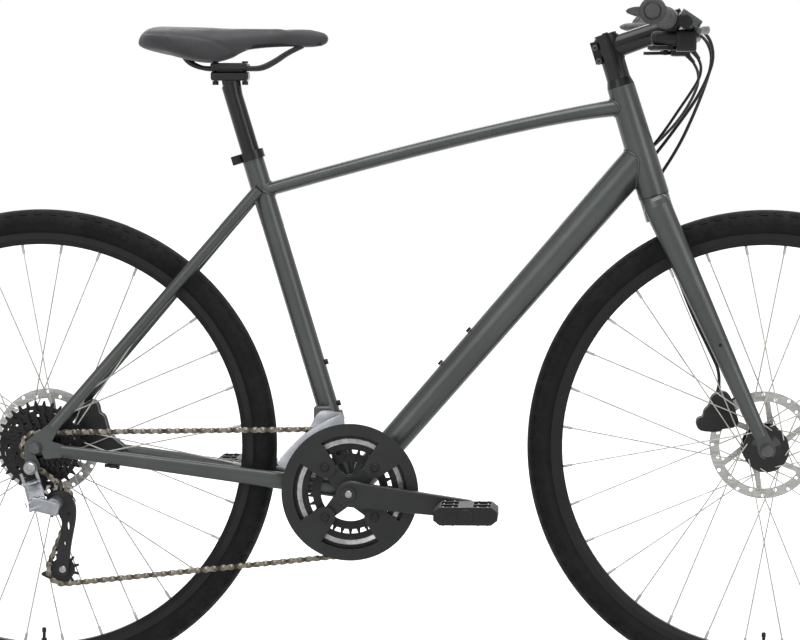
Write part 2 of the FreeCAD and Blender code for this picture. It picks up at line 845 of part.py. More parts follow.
def left_lever_body():
    """Bar clamp, reservoir and the fork that holds the lever's pin."""
    clamp_centre = bar_point(lever_clamp_y)
    half = lever_clamp_width / 2
    clamp = rod(clamp_centre - bar_slope * half, clamp_centre + bar_slope * half, bar_grip_radius + 4.5)
    tank_start = lever_outlet()
    tank_end = bar_point(lever_clamp_y + 8, lever_reach - 4, -4)
    tank = rod(tank_start, tank_end, 9.5)
    neck = block(bar_point(lever_clamp_y, lever_reach / 2, -2), forward, bar_slope, (lever_reach - 8, 14.0, 14.0))
    pivot = lever_pivot()
    ears = rod(pivot - up * 11, pivot + up * 13, 7.0)
    bridge = block(pivot - forward * 8 + up * 6, forward, left, (12.0, 14.0, 13.0))
    body = fused([clamp, tank, neck, ears, bridge])
    body = body.cut(rod(clamp_centre - bar_slope * 40, clamp_centre + bar_slope * 40, bar_grip_radius + weld_gap))
    body = body.cut(rod(pivot - up * 5.5, pivot + up * 5.5, 12.0))
    pin = rod(pivot - up * 9, pivot + up * 9, 2.5)
    return largest(body.fuse(pin))


def lever_bodies():
    body = left_lever_body()
    return Part.makeCompound([body, mirrored(body)])


def left_brake_lever():
    """Two-finger blade on its pin, turned out at the tip."""
    pivot = lever_pivot()
    knuckle = rod(pivot - up * 5.2, pivot + up * 5.2, 6.5)
    reaches = (10.0, 19.0, 23.0, 22.0, 19.0, 19.0)
    heights = (9.0, 11.0, 12.0, 12.0, 11.0, 9.0)
    wires = []
    for index, reach in enumerate(reaches):
        share = index / (len(reaches) - 1)
        station = pivot + forward * reach + bar_slope * (lever_length * share) - up * (9 * share)
        wires.append(section(station, up, heights[index] / 2, forward, 3.2))
    arm = block(pivot + forward * 7, forward, left, (14.0, 8.0, 8.5))
    body = fused([knuckle, arm, loft(wires)])
    return largest(body.cut(rod(pivot - up * 8, pivot + up * 8, 2.5 + running_gap)))


def trigger_pivot():
    return bar_point(shifter_clamp_y - 6, -2, -38)


shifter_heading = Vector(0.64, -0.29, -0.71).normalize()


def shifter_outlet():
    """Where the cable housing leaves the left shifter."""
    return bar_point(shifter_clamp_y - 20, 24, -36)


def left_shifter_body():
    """Trigger shifter: clamp, rounded pod under the bar and cable outlet."""
    centre = bar_point(shifter_clamp_y)
    clamp = rod(centre - bar_slope * 6, centre + bar_slope * 6, bar_grip_radius + 4.0)
    pod = rounded_block(bar_point(shifter_clamp_y - 8, -6, -24), forward, left, (48.0, 36.0, 20.0), 7.0)
    neck = block(bar_point(shifter_clamp_y, 0, -12), forward, left, (16.0, 11.0, 16.0))
    outlet = rod(shifter_outlet() - shifter_heading * 16, shifter_outlet(), 4.5)
    body = fused([clamp, pod, neck, outlet])
    body = body.cut(rod(centre - bar_slope * 40, centre + bar_slope * 40, bar_grip_radius + weld_gap))
    pivot = trigger_pivot()
    return largest(body.fuse(rod(pivot - up * 3, pivot + up * 8, 3.0)))


def shifter_bodies():
    body = left_shifter_body()
    return Part.makeCompound([body, mirrored(body)])


def left_trigger():
    """Thumb lever under the shifter pod."""
    pivot = trigger_pivot()
    hub_top = pivot + up * 3.2
    hub = rod(pivot - up * 2.5, hub_top, 8.0)
    paddle_centre = pivot - forward * 24 + left * 14
    arm = link_plate_flat(pivot, 7.0, paddle_centre, 9.0, 4.5)
    body = hub.fuse(arm)
    return body.cut(rod(pivot - up * 5, pivot + up * 6, 3.0 + running_gap))


def link_plate_flat(first, first_radius, second, second_radius, thickness):
    """A flat arm lying level, round two upright circles."""
    raised = link_plate(Vector(first.x, 0, first.y), first_radius,
                        Vector(second.x, 0, second.y), second_radius, 0.0, thickness)
    turn = FreeCAD.Matrix(1, 0, 0, 0, 0, 0, 1, 0, 0, 1, 0, first.z - thickness / 2)
    return raised.transformGeometry(turn)


# Wheels
def tyre(axle):
    """Hollow casing with its two beads, and the valve stem of the tube inside."""
    half = tyre_width / 2
    centre_radius = tyre_radius - half
    neck_radius = rim_edge_radius + 0.7
    neck_half = math.sqrt(half ** 2 - (centre_radius - neck_radius) ** 2)
    inner = half - tyre_wall
    inner_neck_radius = neck_radius + 4.8
    inner_neck_half = math.sqrt(inner ** 2 - (centre_radius - inner_neck_radius) ** 2)
    bead_half = rim_bead_width / 2 - running_gap
    bead_low = bead_seat_radius + running_gap

    def spot(y, radius):
        return Vector(axle.x + radius, y, axle.z)

    lip = bead_half - 3.5
    ways = [(bead_half, bead_low), (bead_half, neck_radius), (neck_half, neck_radius)]
    back = [(-neck_half, neck_radius), (-bead_half, neck_radius), (-bead_half, bead_low),
            (-lip, bead_low), (-lip - 1, neck_radius + 1.5), (-inner_neck_half, inner_neck_radius)]
    home = [(inner_neck_half, inner_neck_radius), (lip + 1, neck_radius + 1.5), (lip, bead_low), ways[0]]
    edges = [Part.makePolygon([spot(*point) for point in ways])]
    edges.append(Part.Arc(spot(*ways[-1]), spot(0, tyre_radius), spot(*back[0])).toShape())
    edges.append(Part.makePolygon([spot(*point) for point in back]))
    edges.append(Part.Arc(spot(*back[-1]), spot(0, tyre_radius - tyre_wall), spot(*home[0])).toShape())
    edges.append(Part.makePolygon([spot(*point) for point in home]))
    outline = Part.Wire(Part.__sortEdges__([edge for shape in edges for edge in shape.Edges]))
    casing = Part.Face(outline).revolve(axle, left, 360)
    foot = axle - up * (rim_inner_radius - weld_gap)
    valve = rod(foot, foot + up * valve_length, valve_radius)
    return Part.makeCompound([casing, valve])


def rim(axle):
    """Box-section rim with hooked edges."""
    half = rim_width / 2
    bead = rim_bead_width / 2
    spoke_bed = 7.0
    outer = [(-half, rim_edge_radius), (-bead, rim_edge_radius), (-bead, bead_seat_radius),
             (bead, bead_seat_radius), (bead, rim_edge_radius), (half, rim_edge_radius),
             (half, bead_seat_radius - 4), (spoke_bed, rim_inner_radius), (-spoke_bed, rim_inner_radius),
             (-half, bead_seat_radius - 4)]
    hollow = [(-bead, bead_seat_radius - rim_wall), (bead, bead_seat_radius - rim_wall),
              (bead, bead_seat_radius - 4), (spoke_bed - 1.5, rim_inner_radius + rim_wall),
              (-spoke_bed + 1.5, rim_inner_radius + rim_wall), (-bead, bead_seat_radius - 4)]
    return turned(axle, outer).cut(turned(axle, hollow))


def spokes(axle, flange_right, flange_left):
    """Crossed spokes with their nipples, half to each flange."""
    bodies = []
    lay = flange_thickness / 2 + spoke_radius + running_gap
    crossing = spoke_crosses * 2 * math.pi / (spoke_count / 2)
    flange_edge = 1.15 * math.sqrt(flange_radius ** 2 - spoke_circle_radius ** 2)
    for index in range(spoke_count):
        rim_angle = 2 * math.pi * (index + 0.5) / spoke_count
        side = -1 if index % 2 == 0 else 1
        flange_y = -flange_right if side < 0 else flange_left
        leading = 1 if index % 4 < 2 else -1
        over_edge = flange_edge * abs(flange_y) / rim_inner_radius if leading > 0 else 0.0
        head_y = flange_y + side * (leading * lay + over_edge)
        start = polar(axle, spoke_circle_radius, rim_angle - leading * crossing, head_y)
        end = polar(axle, rim_inner_radius - running_gap, rim_angle, side * 2.5)
        way = (end - start).normalize()
        neck = end - way * nipple_length
        bodies.append(rod(start, neck, spoke_radius).fuse(rod(neck, end, nipple_radius)))
    return Part.makeCompound(bodies)


def flange(y):
    """Outline of one flange, flat where the spokes lie on it."""
    low = y - flange_thickness / 2
    high = y + flange_thickness / 2
    web = spoke_circle_radius - 6
    return [(low, web), (low, flange_radius), (high, flange_radius), (high, web)]


def rotor_seat(y, end):
    """Outline of the left end of a hub, with the step that the rotor fits on."""
    bore = axle_radius + running_gap
    seat = y - rotor_thickness / 2 - weld_gap
    spigot = rotor_bore - weld_gap
    return [(seat, spoke_circle_radius - 6), (seat, spigot), (seat + 4, spigot), (seat + 4, 9.5), (end, 9.5),
            (end, bore)]


def front_hub():
    bore = axle_radius + running_gap
    end = fork_dropout_y - 7
    barrel = 16.0
    profile = [(-end, bore), (-end, 9.0), (-front_flange_right - 5, 12.0)]
    profile += flange(-front_flange_right)
    profile += [(-front_flange_right + 8, barrel), (front_flange_left - 8, barrel)]
    profile += flange(front_flange_left)
    return turned(front_axle, profile + rotor_seat(front_rotor_y, end))


def rear_hub():
    """Hub shell and the freehub barrel that carries the cogs."""
    bore = axle_radius + running_gap
    end = dropout_y - 6
    barrel = 20.0
    profile = [(-end, bore), (-end, 12.0), (-end + 2.5, freehub_radius), (-rear_flange_right - 3, freehub_radius)]
    profile += flange(-rear_flange_right)
    profile += [(-rear_flange_right + 6, barrel), (rear_flange_left - 6, barrel)]
    profile += flange(rear_flange_left)
    return turned(rear_axle, profile + rotor_seat(rear_rotor_y, end))


def rotor(axle, y):
    """Drilled brake disc on six slanted arms, with its bolts."""
    low = y - rotor_thickness / 2
    inner_band = rotor_radius - rotor_band
    carrier = 27.0
    pieces = [washer(axle, low, rotor_thickness, rotor_radius, inner_band),
              washer(axle, low, rotor_thickness, carrier, rotor_bore)]
    lean = 0.45
    arm_half = 4.0
    arm_count = 6
    for index in range(arm_count):
        angle = 2 * math.pi * index / arm_count
        foot = polar(axle, carrier - 3, angle, 0)
        tip = polar(axle, inner_band + 4, angle + lean, 0)
        pieces.append(link_plate(foot, arm_half + 0.6, tip, arm_half, low, rotor_thickness))
    body = fused(pieces)
    hole_count = 24
    vents = []
    for index in range(hole_count):
        spread = 3.0 if index % 2 == 0 else -3.0
        place = polar(axle, rotor_radius - rotor_band / 2 + spread, 2 * math.pi * index / hole_count, 0)
        vents.append(disc(place, low - 1, rotor_thickness + 2, 2.6))
    body = body.cut(Part.makeCompound(vents))
    bolts = []
    for index in range(arm_count):
        place = polar(axle, 22.0, 2 * math.pi * (index + 0.5) / arm_count, 0)
        bolts.append(disc(place, y + rotor_thickness / 2 + weld_gap, 2.2, 3.6))
    return Part.makeCompound([body] + bolts)


def axle(centre, hub_width, plate):
    """Axle between the dropouts, the nut on the right and the cam seat on the left."""
    half = hub_width / 2
    nut_radius = 9.0
    nut = plate + 12
    lock_radius = 8.5
    lock = 5.0
    core = axle_radius
    profile = [(-half - nut, 0), (-half - nut, nut_radius - 2), (-half - nut + 4, nut_radius),
               (-half - plate - weld_gap, nut_radius), (-half - plate - weld_gap, core),
               (-half + weld_gap, core), (-half + weld_gap, lock_radius), (-half + lock, lock_radius),
               (-half + lock, core), (half - lock, core), (half - lock, lock_radius),
               (half - weld_gap, lock_radius), (half - weld_gap, core), (half + plate + weld_gap, core),
               (half + plate + weld_gap, nut_radius), (half + plate + 5, nut_radius),
               (half + plate + 5, 0)]
    return turned(centre, profile)


def cam_centre(centre, hub_width, plate):
    return Vector(centre.x, hub_width / 2 + plate + 12, centre.z)


def quick_release(centre, hub_width, plate, heading):
    """Cam lever on the left end of the axle, folded along the given heading."""
    cam = cam_centre(centre, hub_width, plate)
    across = left.cross(heading)
    barrel = rod(cam - across * 7, cam + across * 7, 6.5)
    stations = [cam + heading * 4, cam + heading * 22 + left * 3, cam + heading * 48 + left * 1]
    halves = (5.5, 8.0, 6.0)
    wires = []
    for station, half in zip(stations, halves):
        wires.append(section(station, across, half, left, 3.0))
    return fused([barrel, loft(wires)])


# Chain and sprockets
def pitch_radius(teeth):
    return teeth * chain_pitch / (2 * math.pi)


guide_pulley_centre = Vector(rear_axle.x + guide_pulley_reach, 0, rear_axle.z - guide_pulley_drop)


def tension_pulley_at(angle):
    return polar(guide_pulley_centre, cage_length, angle)


def chain_wheels(cage_angle):
    """Every wheel that the chain goes round: centre, teeth, turning sense and place across Y."""
    return [
        (bottom_bracket, ring_teeth, 1, -chain_line),
        (tension_pulley_at(cage_angle), pulley_teeth, 1, -cog_line),
        (guide_pulley_centre, pulley_teeth, -1, -cog_line),
        (rear_axle, cog_teeth[0], 1, -cog_line),
    ]


def tangent_run(first, second):
    """The straight run that leaves one wheel and reaches the next."""
    first_centre, first_teeth, first_sense, first_y = first
    second_centre, second_teeth, second_sense, second_y = second
    gap_x = second_centre.x - first_centre.x
    gap_z = second_centre.z - first_centre.z
    first_reach = first_sense * pitch_radius(first_teeth)
    second_reach = second_sense * pitch_radius(second_teeth)
    offset = second_reach - first_reach
    square = gap_x ** 2 + gap_z ** 2
    run = math.sqrt(square - offset ** 2)
    way_x = (run * gap_x - offset * gap_z) / square
    way_z = (run * gap_z + offset * gap_x) / square
    start = Vector(first_centre.x - first_reach * way_z, first_y, first_centre.z + first_reach * way_x)
    end = Vector(second_centre.x - second_reach * way_z, second_y, second_centre.z + second_reach * way_x)
    return start, end


def chain_stretches(cage_angle):
    """Runs and wraps of the closed chain, in the order that the chain travels."""
    wheels = chain_wheels(cage_angle)
    runs = [tangent_run(wheels[i], wheels[(i + 1) % len(wheels)]) for i in range(len(wheels))]
    stretches = []
    for index, wheel in enumerate(wheels):
        centre, teeth, sense, y = wheel
        enters = runs[index - 1][1]
        leaves = runs[index][0]
        first = math.atan2(enters.z - centre.z, enters.x - centre.x)
        last = math.atan2(leaves.z - centre.z, leaves.x - centre.x)
        sweep = (sense * (first - last)) % (2 * math.pi)
        stretches.append(("wrap", sweep * pitch_radius(teeth), wheel, first))
        stretches.append(("run", (leaves - runs[index][1]).Length, leaves, runs[index][1]))
    return stretches


def chain_length(cage_angle):
    return sum(stretch[1] for stretch in chain_stretches(cage_angle))


def solve_cage_angle():
    """The cage angle at which a whole number of links just closes the chain."""
    wanted = link_count * chain_pitch
    low = math.radians(-150.0)
    high = math.radians(-30.0)
    for step in range(60):
        middle = (low + high) / 2
        if chain_length(middle) > wanted:
            low = middle
        else:
            high = middle
    return (low + high) / 2


cage_angle = solve_cage_angle()
tension_pulley_centre = tension_pulley_at(cage_angle)


def chain_point(distance):
    """Where the chain's pitch line is after a distance along it."""
    for kind, length, first, second in chain_stretches(cage_angle):
        if distance > length:
            distance -= length
        elif kind == "run":
            return first + (second - first) * (distance / length)
        else:
            centre, teeth, sense, y = first
            return polar(centre, pitch_radius(teeth), second - sense * distance / pitch_radius(teeth), y)
    return chain_point(0.0)


def gap_angle(wheel_index):
    """The turn of a chain wheel at which its tooth gaps meet the chain's rollers."""
    stretches = chain_stretches(cage_angle)
    before = sum(stretch[1] for stretch in stretches[:2 * wheel_index])
    kind, length, wheel, first = stretches[2 * wheel_index]
    centre, teeth, sense, y = wheel
    to_roller = math.ceil(before / chain_pitch) * chain_pitch - before
    return first - sense * to_roller / pitch_radius(teeth)


def link_side_plates(y, centre_radius):
    near = link_plate(Vector(0, 0, 0), centre_radius, Vector(chain_pitch, 0, 0), centre_radius, y, plate_thickness)
    waist_radius = 8.0
    for level in (-1, 1):
        hollow = Vector(chain_pitch / 2, 0, level * (waist_radius + plate_waist))
        near = near.cut(disc(hollow, y - 1, plate_thickness + 2, waist_radius))
    return [near, mirrored(near)]


def inner_link():
    pieces = link_side_plates(inner_plate_y, plate_half_height)
    ends = [Vector(0, 0, 0), Vector(chain_pitch, 0, 0)]
    half = inner_plate_y + plate_thickness
    for end in ends:
        pieces.append(disc(end, -inner_plate_y, 2 * inner_plate_y, roller_radius))
    body = fused(pieces)
    for end in ends:
        body = body.cut(disc(end, -half - 1, 2 * half + 2, pin_radius + running_gap))
    return body


def outer_link():
    pieces = link_side_plates(outer_plate_y, plate_half_height)
    for end in (Vector(0, 0, 0), Vector(chain_pitch, 0, 0)):
        pieces.append(disc(end, -pin_half_length, 2 * pin_half_length, pin_radius))
    return fused(pieces)


def chain():
    """Inner and outer links in turn, each on its two neighbours' pins."""
    pins = [chain_point(index * chain_length(cage_angle) / link_count) for index in range(link_count)]
    patterns = [inner_link(), outer_link()]
    links = []
    for index, pin in enumerate(pins):
        way = pins[(index + 1) % link_count] - pin
        turn = FreeCAD.Rotation(way, left, way.cross(left), "XYZ")
        link = patterns[index % 2].copy()
        link.Placement = FreeCAD.Placement(pin, turn)
        links.append(link)
    return Part.makeCompound(links)


def toothed_disc(centre, teeth, gap, y):
    """A sprocket blank whose tooth gaps clear the rollers."""
    radius = pitch_radius(teeth)
    root = radius - roller_radius - 0.6
    tip = radius + 2.4
    root_half = 2.8 / root
    pitch_half = 4.5 / radius
    tip_half = 5.3 / tip
    points = []
    for index in range(teeth):
        middle = gap + 2 * math.pi * index / teeth
        spots = [(radius, -pitch_half), (root, -root_half), (root, root_half), (radius, pitch_half)]
        spots = [(tip, -tip_half)] + spots + [(tip, tip_half)]
        for reach, turn in spots:
            spot = polar(centre, reach, middle + turn)
            points.append((spot.x, spot.z))
    return prism(points, y - tooth_thickness / 2, tooth_thickness)


def cassette():
    """Eight cogs with spacers between them and the lock ring outside."""
    pieces = []
    bore = freehub_radius + weld_gap
    for index, teeth in enumerate(cog_teeth):
        y = -cog_line + index * cog_spacing
        turn = gap_angle(3) if index == 0 else 0.0
        cog = toothed_disc(rear_axle, teeth, turn, y)
        cog = cog.cut(disc(rear_axle, y - 5, 10, bore))
        hole_radius = 0.16 * pitch_radius(teeth)
        hole_circle = 0.68 * pitch_radius(teeth)
        if hole_circle - hole_radius > bore + 4:
            count = 8
            holes = [disc(polar(rear_axle, hole_circle, 2 * math.pi * (k + index / 3) / count), y - 5, 10, hole_radius)
                     for k in range(count)]
            cog = cog.cut(Part.makeCompound(holes))
        pieces.append(cog)
        if index:
            low = y - cog_spacing + tooth_thickness / 2 + weld_gap / 2
            width = cog_spacing - tooth_thickness - weld_gap
            pieces.append(washer(rear_axle, low, width, bore + (1.4 if index == 1 else 4.5), bore))
    return Part.makeCompound(pieces)


def bolt_spots(radius):
    return [polar(bottom_bracket, radius, math.radians(45 + 90 * index)) for index in range(4)]


def chainrings():
    """Outer and inner ring, drilled for the four ring bolts."""
    outer = toothed_disc(bottom_bracket, ring_teeth, gap_angle(0), -chain_line)
    outer = outer.cut(disc(bottom_bracket, -chain_line - 5, 10, guard_inner_radius))
    pieces = [outer]
    low = -chain_line - tooth_thickness / 2
    for spot in bolt_spots(bolt_circle_radius):
        tip = bottom_bracket + (spot - bottom_bracket) * (guard_inner_radius - 10) * (1 / bolt_circle_radius)
        pieces.append(link_plate(spot, 9.0, tip, 12.0, low, tooth_thickness))
    outer = fused(pieces)
    inner = toothed_disc(bottom_bracket, small_ring_teeth, 0.0, -small_ring_line)
    inner = inner.cut(disc(bottom_bracket, -small_ring_line - 5, 10, bolt_circle_radius - 8))
    for spot in bolt_spots(bolt_circle_radius):
        hole = disc(spot, -80, 60, ring_bolt_radius + weld_gap)
        outer = outer.cut(hole)
        inner = inner.cut(hole)
    return Part.makeCompound([outer, inner])


ring_bolt_radius = 4.0


def chain_guard():
    """Guard ring on four tabs, with the bolts that hold it and both rings."""
    low = -guard_line - guard_thickness
    pieces = [washer(bottom_bracket, low, guard_thickness, guard_outer_radius, guard_inner_radius)]
    tall = guard_line - chain_line - tooth_thickness / 2 - weld_gap
    shoulder_reach = guard_outer_radius - guard_shoulder_radius - 1
    for spot in bolt_spots(bolt_circle_radius):
        tip = bottom_bracket + (spot - bottom_bracket) * (shoulder_reach / bolt_circle_radius)
        pieces.append(link_plate(spot, guard_arm_radius, tip, guard_shoulder_radius, low, guard_thickness))
        pieces.append(disc(spot, -guard_line - 0.5, tall + 0.5, 7.5))
    body = fused(pieces)
    parts = []
    for spot in bolt_spots(bolt_circle_radius):
        body = body.cut(disc(spot, -80, 60, ring_bolt_radius + weld_gap))
        shank = disc(spot, low - 2, 2 + low * -1 - small_ring_line + 3, ring_bolt_radius)
        head = disc(spot, low - 2, 2 - weld_gap, 6.5)
        parts.append(shank.fuse(head))
    return Part.makeCompound([body] + parts)


crank_heading = math.radians(crank_angle)
pedal_axis_right = polar(bottom_bracket, crank_length, crank_heading)
pedal_axis_left = polar(bottom_bracket, crank_length, crank_heading + math.pi)


def crank_arm(pedal_axis, side):
    """Tapered arm at the rider's right, or mirrored at the left."""
    low = -crank_line - crank_thickness
    arm = link_plate(bottom_bracket, crank_boss_radius, pedal_axis, crank_end_radius, low, crank_thickness)
    arm = arm.makeFillet(3.0, arm.Edges)
    if side < 0:
        boss_end = -small_ring_line - tooth_thickness / 2 - 0.2
    else:
        boss_end = -shell_width / 2 - 5.0
    boss = disc(bottom_bracket, low + 3, boss_end - low - 3, crank_boss_radius - 2)
    return arm.fuse(boss)


def crank_arms():
    """Right arm with its four-armed spider, and the left arm."""
    right = crank_arm(pedal_axis_right, -1)
    outer_face = -chain_line + tooth_thickness / 2 + weld_gap
    inner_face = -small_ring_line - tooth_thickness / 2 - weld_gap
    for spot in bolt_spots(bolt_circle_radius):
        right = right.fuse(link_plate(bottom_bracket, 16.0, spot, 8.0, outer_face, inner_face - outer_face))
    for spot in bolt_spots(bolt_circle_radius):
        right = right.cut(disc(spot, -80, 60, ring_bolt_radius + weld_gap))
    left_arm = mirrored(crank_arm(pedal_axis_left, 1))
    arms = []
    for arm, pedal_axis in ((right, pedal_axis_right), (left_arm, pedal_axis_left)):
        arm = arm.cut(disc(bottom_bracket, -120, 240, spindle_radius + weld_gap))
        arms.append(arm.cut(disc(pedal_axis, -120, 240, pedal_spindle_radius + weld_gap)))
    return Part.makeCompound(arms)


pedal_inner = crank_line + crank_thickness + 6.0


def crank_axles():
    """Bottom bracket spindle, the two crank bolts and the two pedal spindles."""
    reach = crank_line + crank_thickness
    spindle = disc(bottom_bracket, -reach + 2, 2 * reach - 4, spindle_radius)
    bolts = []
    for low in (-reach - 3, reach + weld_gap):
        bolts.append(disc(bottom_bracket, low, 3 - weld_gap, crank_boss_radius - 8))
    spindle_end = pedal_inner + pedal_width - 8
    right = disc(pedal_axis_right, -spindle_end, spindle_end - crank_line, pedal_spindle_radius)
    right = right.fuse(disc(pedal_axis_right, -reach - 3, 2.8, pedal_spindle_radius + 3))
    far = disc(pedal_axis_left, crank_line, spindle_end - crank_line, pedal_spindle_radius)
    far = far.fuse(disc(pedal_axis_left, reach + weld_gap, 2.8, pedal_spindle_radius + 3))
    return Part.makeCompound([spindle] + bolts + [right, far])


def pedal(pedal_axis):
    """Right-hand platform pedal: barrel, cage and cross bars."""
    half = pedal_length / 2
    low = -pedal_inner - pedal_width
    rail = 7.0
    end_rail = 10.0
    outline = [(-half, -6), (-half + 9, -pedal_thickness / 2), (half - 9, -pedal_thickness / 2), (half, -6),
               (half, 6), (half - 9, pedal_thickness / 2), (-half + 9, pedal_thickness / 2), (-half, 6)]
    points = [(pedal_axis.x + x, pedal_axis.z + z) for x, z in outline]
    body = prism(points, low, pedal_width)
    window_length = half - pedal_barrel_radius - end_rail + 2
    for side in (-1, 1):
        reach = pedal_barrel_radius - 2 + window_length / 2
        for row in (-1, 1):
            width = (pedal_width - 3 * rail) / 2
            y = low + pedal_width / 2 + row * (width + rail) / 2
            centre = Vector(pedal_axis.x + side * reach, y, pedal_axis.z)
            body = body.cut(block(centre, forward, left, (window_length, width, 2 * pedal_thickness)))
    cap = disc(pedal_axis, low - 3, 4, 9.0)
    body = body.fuse(cap)
    return body.cut(disc(pedal_axis, low + 7, pedal_width, pedal_spindle_radius + running_gap))


def pedal_right():
    return pedal(pedal_axis_right)


def pedal_left():
    return mirrored(pedal(pedal_axis_left))


# Derailleurs
shift_way = Vector(0, 0.91, -0.41).normalize()
link_middle = Vector(0.33, -0.387, -0.859).normalize()
pin_way = link_middle.cross(shift_way)
half_swing = math.radians(shift_swing / 2)
link_way = link_middle * math.cos(half_swing) - shift_way * math.sin(half_swing)
knuckle_pin = Vector(hanger_bolt.x + 2, -dropout_y - dropout_thickness - 4, hanger_bolt.z - 25)
cage_pin = knuckle_pin + link_way * link_length
eye_half = 7.4
eye_radius = 7.0
link_pin_radius = 3.0
link_strut_radius = 2.7
link_bar_radius = 3.2


def clevis(pin, heading):
    """Link pin between two cheeks, each on a strut along the heading."""
    half = eye_half + weld_gap + running_gap + 4.0
    heading = heading - pin_way * heading.dot(pin_way)
    pieces = [rod(pin - pin_way * half, pin + pin_way * half, link_pin_radius)]
    for end in (-1, 1):
        cheek = pin + pin_way * (end * half)
        pieces.append(rod(cheek, cheek - pin_way * (end * 4), 6.0))
        strut = pin + pin_way * (end * (half - 1))
        pieces.append(rod(strut, strut + heading, link_strut_radius))
    return pieces


def derailleur_knuckle():
    """Upper knuckle, bolted to the hanger, with the pin that the link swings on."""
    low = -dropout_y - dropout_thickness - weld_gap
    boss = disc(hanger_bolt, low - 13, 13, 10.0)
    bolt = disc(hanger_bolt, low - 16, 16 + dropout_thickness, 4.7)
    top = Vector(hanger_bolt.x, low - 6.5, hanger_bolt.z)
    return fused([boss, bolt] + clevis(knuckle_pin, (top - knuckle_pin) * 0.85))


def derailleur_link():
    """The parallelogram link between the two knuckles."""
    eyes = [rod(pin - pin_way * eye_half, pin + pin_way * eye_half, eye_radius) for pin in (knuckle_pin, cage_pin)]
    middle = (knuckle_pin + cage_pin) * 0.5
    web = block(middle, link_way, pin_way, (link_length, 2 * eye_half, 9.0))
    body = fused(eyes + [web])
    for pin in (knuckle_pin, cage_pin):
        body = body.cut(rod(pin - pin_way * 20, pin + pin_way * 20, link_pin_radius + running_gap))
    return body


def derailleur_body():
    """Lower knuckle: pin of the link, and the drum that the cage turns on."""
    plate_face = -cog_line - cage_plate_gap - cage_plate_thickness - running_gap
    drum_low = cage_pin.y - 6
    drum = disc(guide_pulley_centre, drum_low, plate_face - drum_low, 10.0)
    below = link_way * (eye_radius + 5)
    pieces = clevis(cage_pin, below)
    half = eye_half + weld_gap + running_gap + 3.0
    start = cage_pin + below - pin_way * half
    finish = cage_pin + below + pin_way * half
    pieces.append(rod(start - pin_way * 4, finish + pin_way * 4, link_bar_radius))
    target = Vector(guide_pulley_centre.x, drum_low + 8, guide_pulley_centre.z)
    pieces.append(rod(finish, target, link_bar_radius + 1.2))
    return fused([drum] + pieces)


def cage_plate(y):
    plate = link_plate(guide_pulley_centre, cage_plate_radius, tension_pulley_centre, cage_plate_radius,
                       y, cage_plate_thickness)
    way = (tension_pulley_centre - guide_pulley_centre).normalize()
    for share in (0.3, 0.42, 0.7):
        spot = guide_pulley_centre + way * (cage_length * share)
        plate = plate.cut(disc(spot, y - 1, cage_plate_thickness + 2, 4.0))
    return plate


def derailleur_cage():
    """Two side plates and the bolts that the pulleys turn on."""
    outer = -cog_line - cage_plate_gap - cage_plate_thickness
    inner = -cog_line + cage_plate_gap
    pieces = [cage_plate(outer), cage_plate(inner)]
    width = 2 * (cage_plate_gap + cage_plate_thickness)
    for centre in (guide_pulley_centre, tension_pulley_centre):
        pieces.append(disc(centre, outer, width, pulley_bolt_radius))
    return fused(pieces)


def pulley(centre, wheel_index):
    body = toothed_disc(centre, pulley_teeth, gap_angle(wheel_index), -cog_line)
    hub_half = cage_plate_gap - running_gap
    body = body.fuse(disc(centre, -cog_line - hub_half, 2 * hub_half, 7.0))
    return body.cut(disc(centre, -cog_line - 10, 20, pulley_bolt_radius + running_gap))


front_cage_pin = Vector(bottom_bracket.x - 42, 0, bottom_bracket.z + 113)


def front_derailleur():
    """Band clamp on the seat tube and the body that guides the cage's pin."""
    height = 110.0
    band = pipe(seat_point(height - 7), seat_point(height + 7), seat_tube_radius + 3.5, seat_tube_radius + weld_gap)
    body = rounded_block(front_cage_pin - left * 27, forward, left, (26.0, 18.0, 24.0), 4.0)
    bridge = block(front_cage_pin - left * 18, forward, left, (14.0, 8.0, 14.0))
    tube = rod(bottom_bracket, seat_point(seat_tube_length), seat_tube_radius + weld_gap)
    body = fused([body, bridge, band]).cut(tube)
    return largest(body.cut(disc(front_cage_pin, -50, 40, 4.0 + running_gap)))


def front_cage_plate(y):
    outline = [(-8, 112), (-8, 103.5), (-46, 100), (-80, 72), (-98, 46), (-112, 46), (-108, 78), (-72, 112), (-40, 119)]
    points = [(bottom_bracket.x + x, bottom_bracket.z + z) for x, z in outline]
    return prism(points, y, 1.2)


def front_derailleur_cage():
    """Two plates either side of the chain, joined above it and at the tail."""
    inner = -chain_line + 4.2
    outer = -chain_line - 7.6
    width = inner + 1.2 - outer
    bridge_top = [(-8, 112), (-8, 109), (-60, 109), (-72, 112), (-40, 119)]
    bridge_tail = [(-112, 46), (-110.5, 54), (-93, 54), (-98, 46)]
    pieces = [front_cage_plate(inner), front_cage_plate(outer)]
    for outline in (bridge_top, bridge_tail):
        points = [(bottom_bracket.x + x, bottom_bracket.z + z) for x, z in outline]
        pieces.append(prism(points, outer, width))
    pin_end = -seat_tube_radius - front_shift_travel - 1.5
    pin = disc(front_cage_pin, inner, pin_end - inner, 4.0)
    return fused(pieces + [pin])


# Seat
def seatpost():
    """Post with the cradle at its head that the saddle clamp sits on."""
    low = seat_tube_length - seatpost_insert
    post = rod(seat_point(low), seat_point(seatpost_head_height), seatpost_radius)
    cradle_centre = saddle_origin - up * 11
    cradle = rounded_block(cradle_centre, forward, left, (56.0, 34.0, 14.0), 4.0)
    neck = cone(seat_point(seatpost_head_height - 16), cradle_centre, seatpost_radius, 14.0)
    body = fused([post, neck, cradle])
    for reach in clamp_bolt_reaches:
        spot = saddle_origin + forward * reach
        body = body.cut(rod(spot - up * 40, spot + up * 20, 2.7 + weld_gap))
    return body


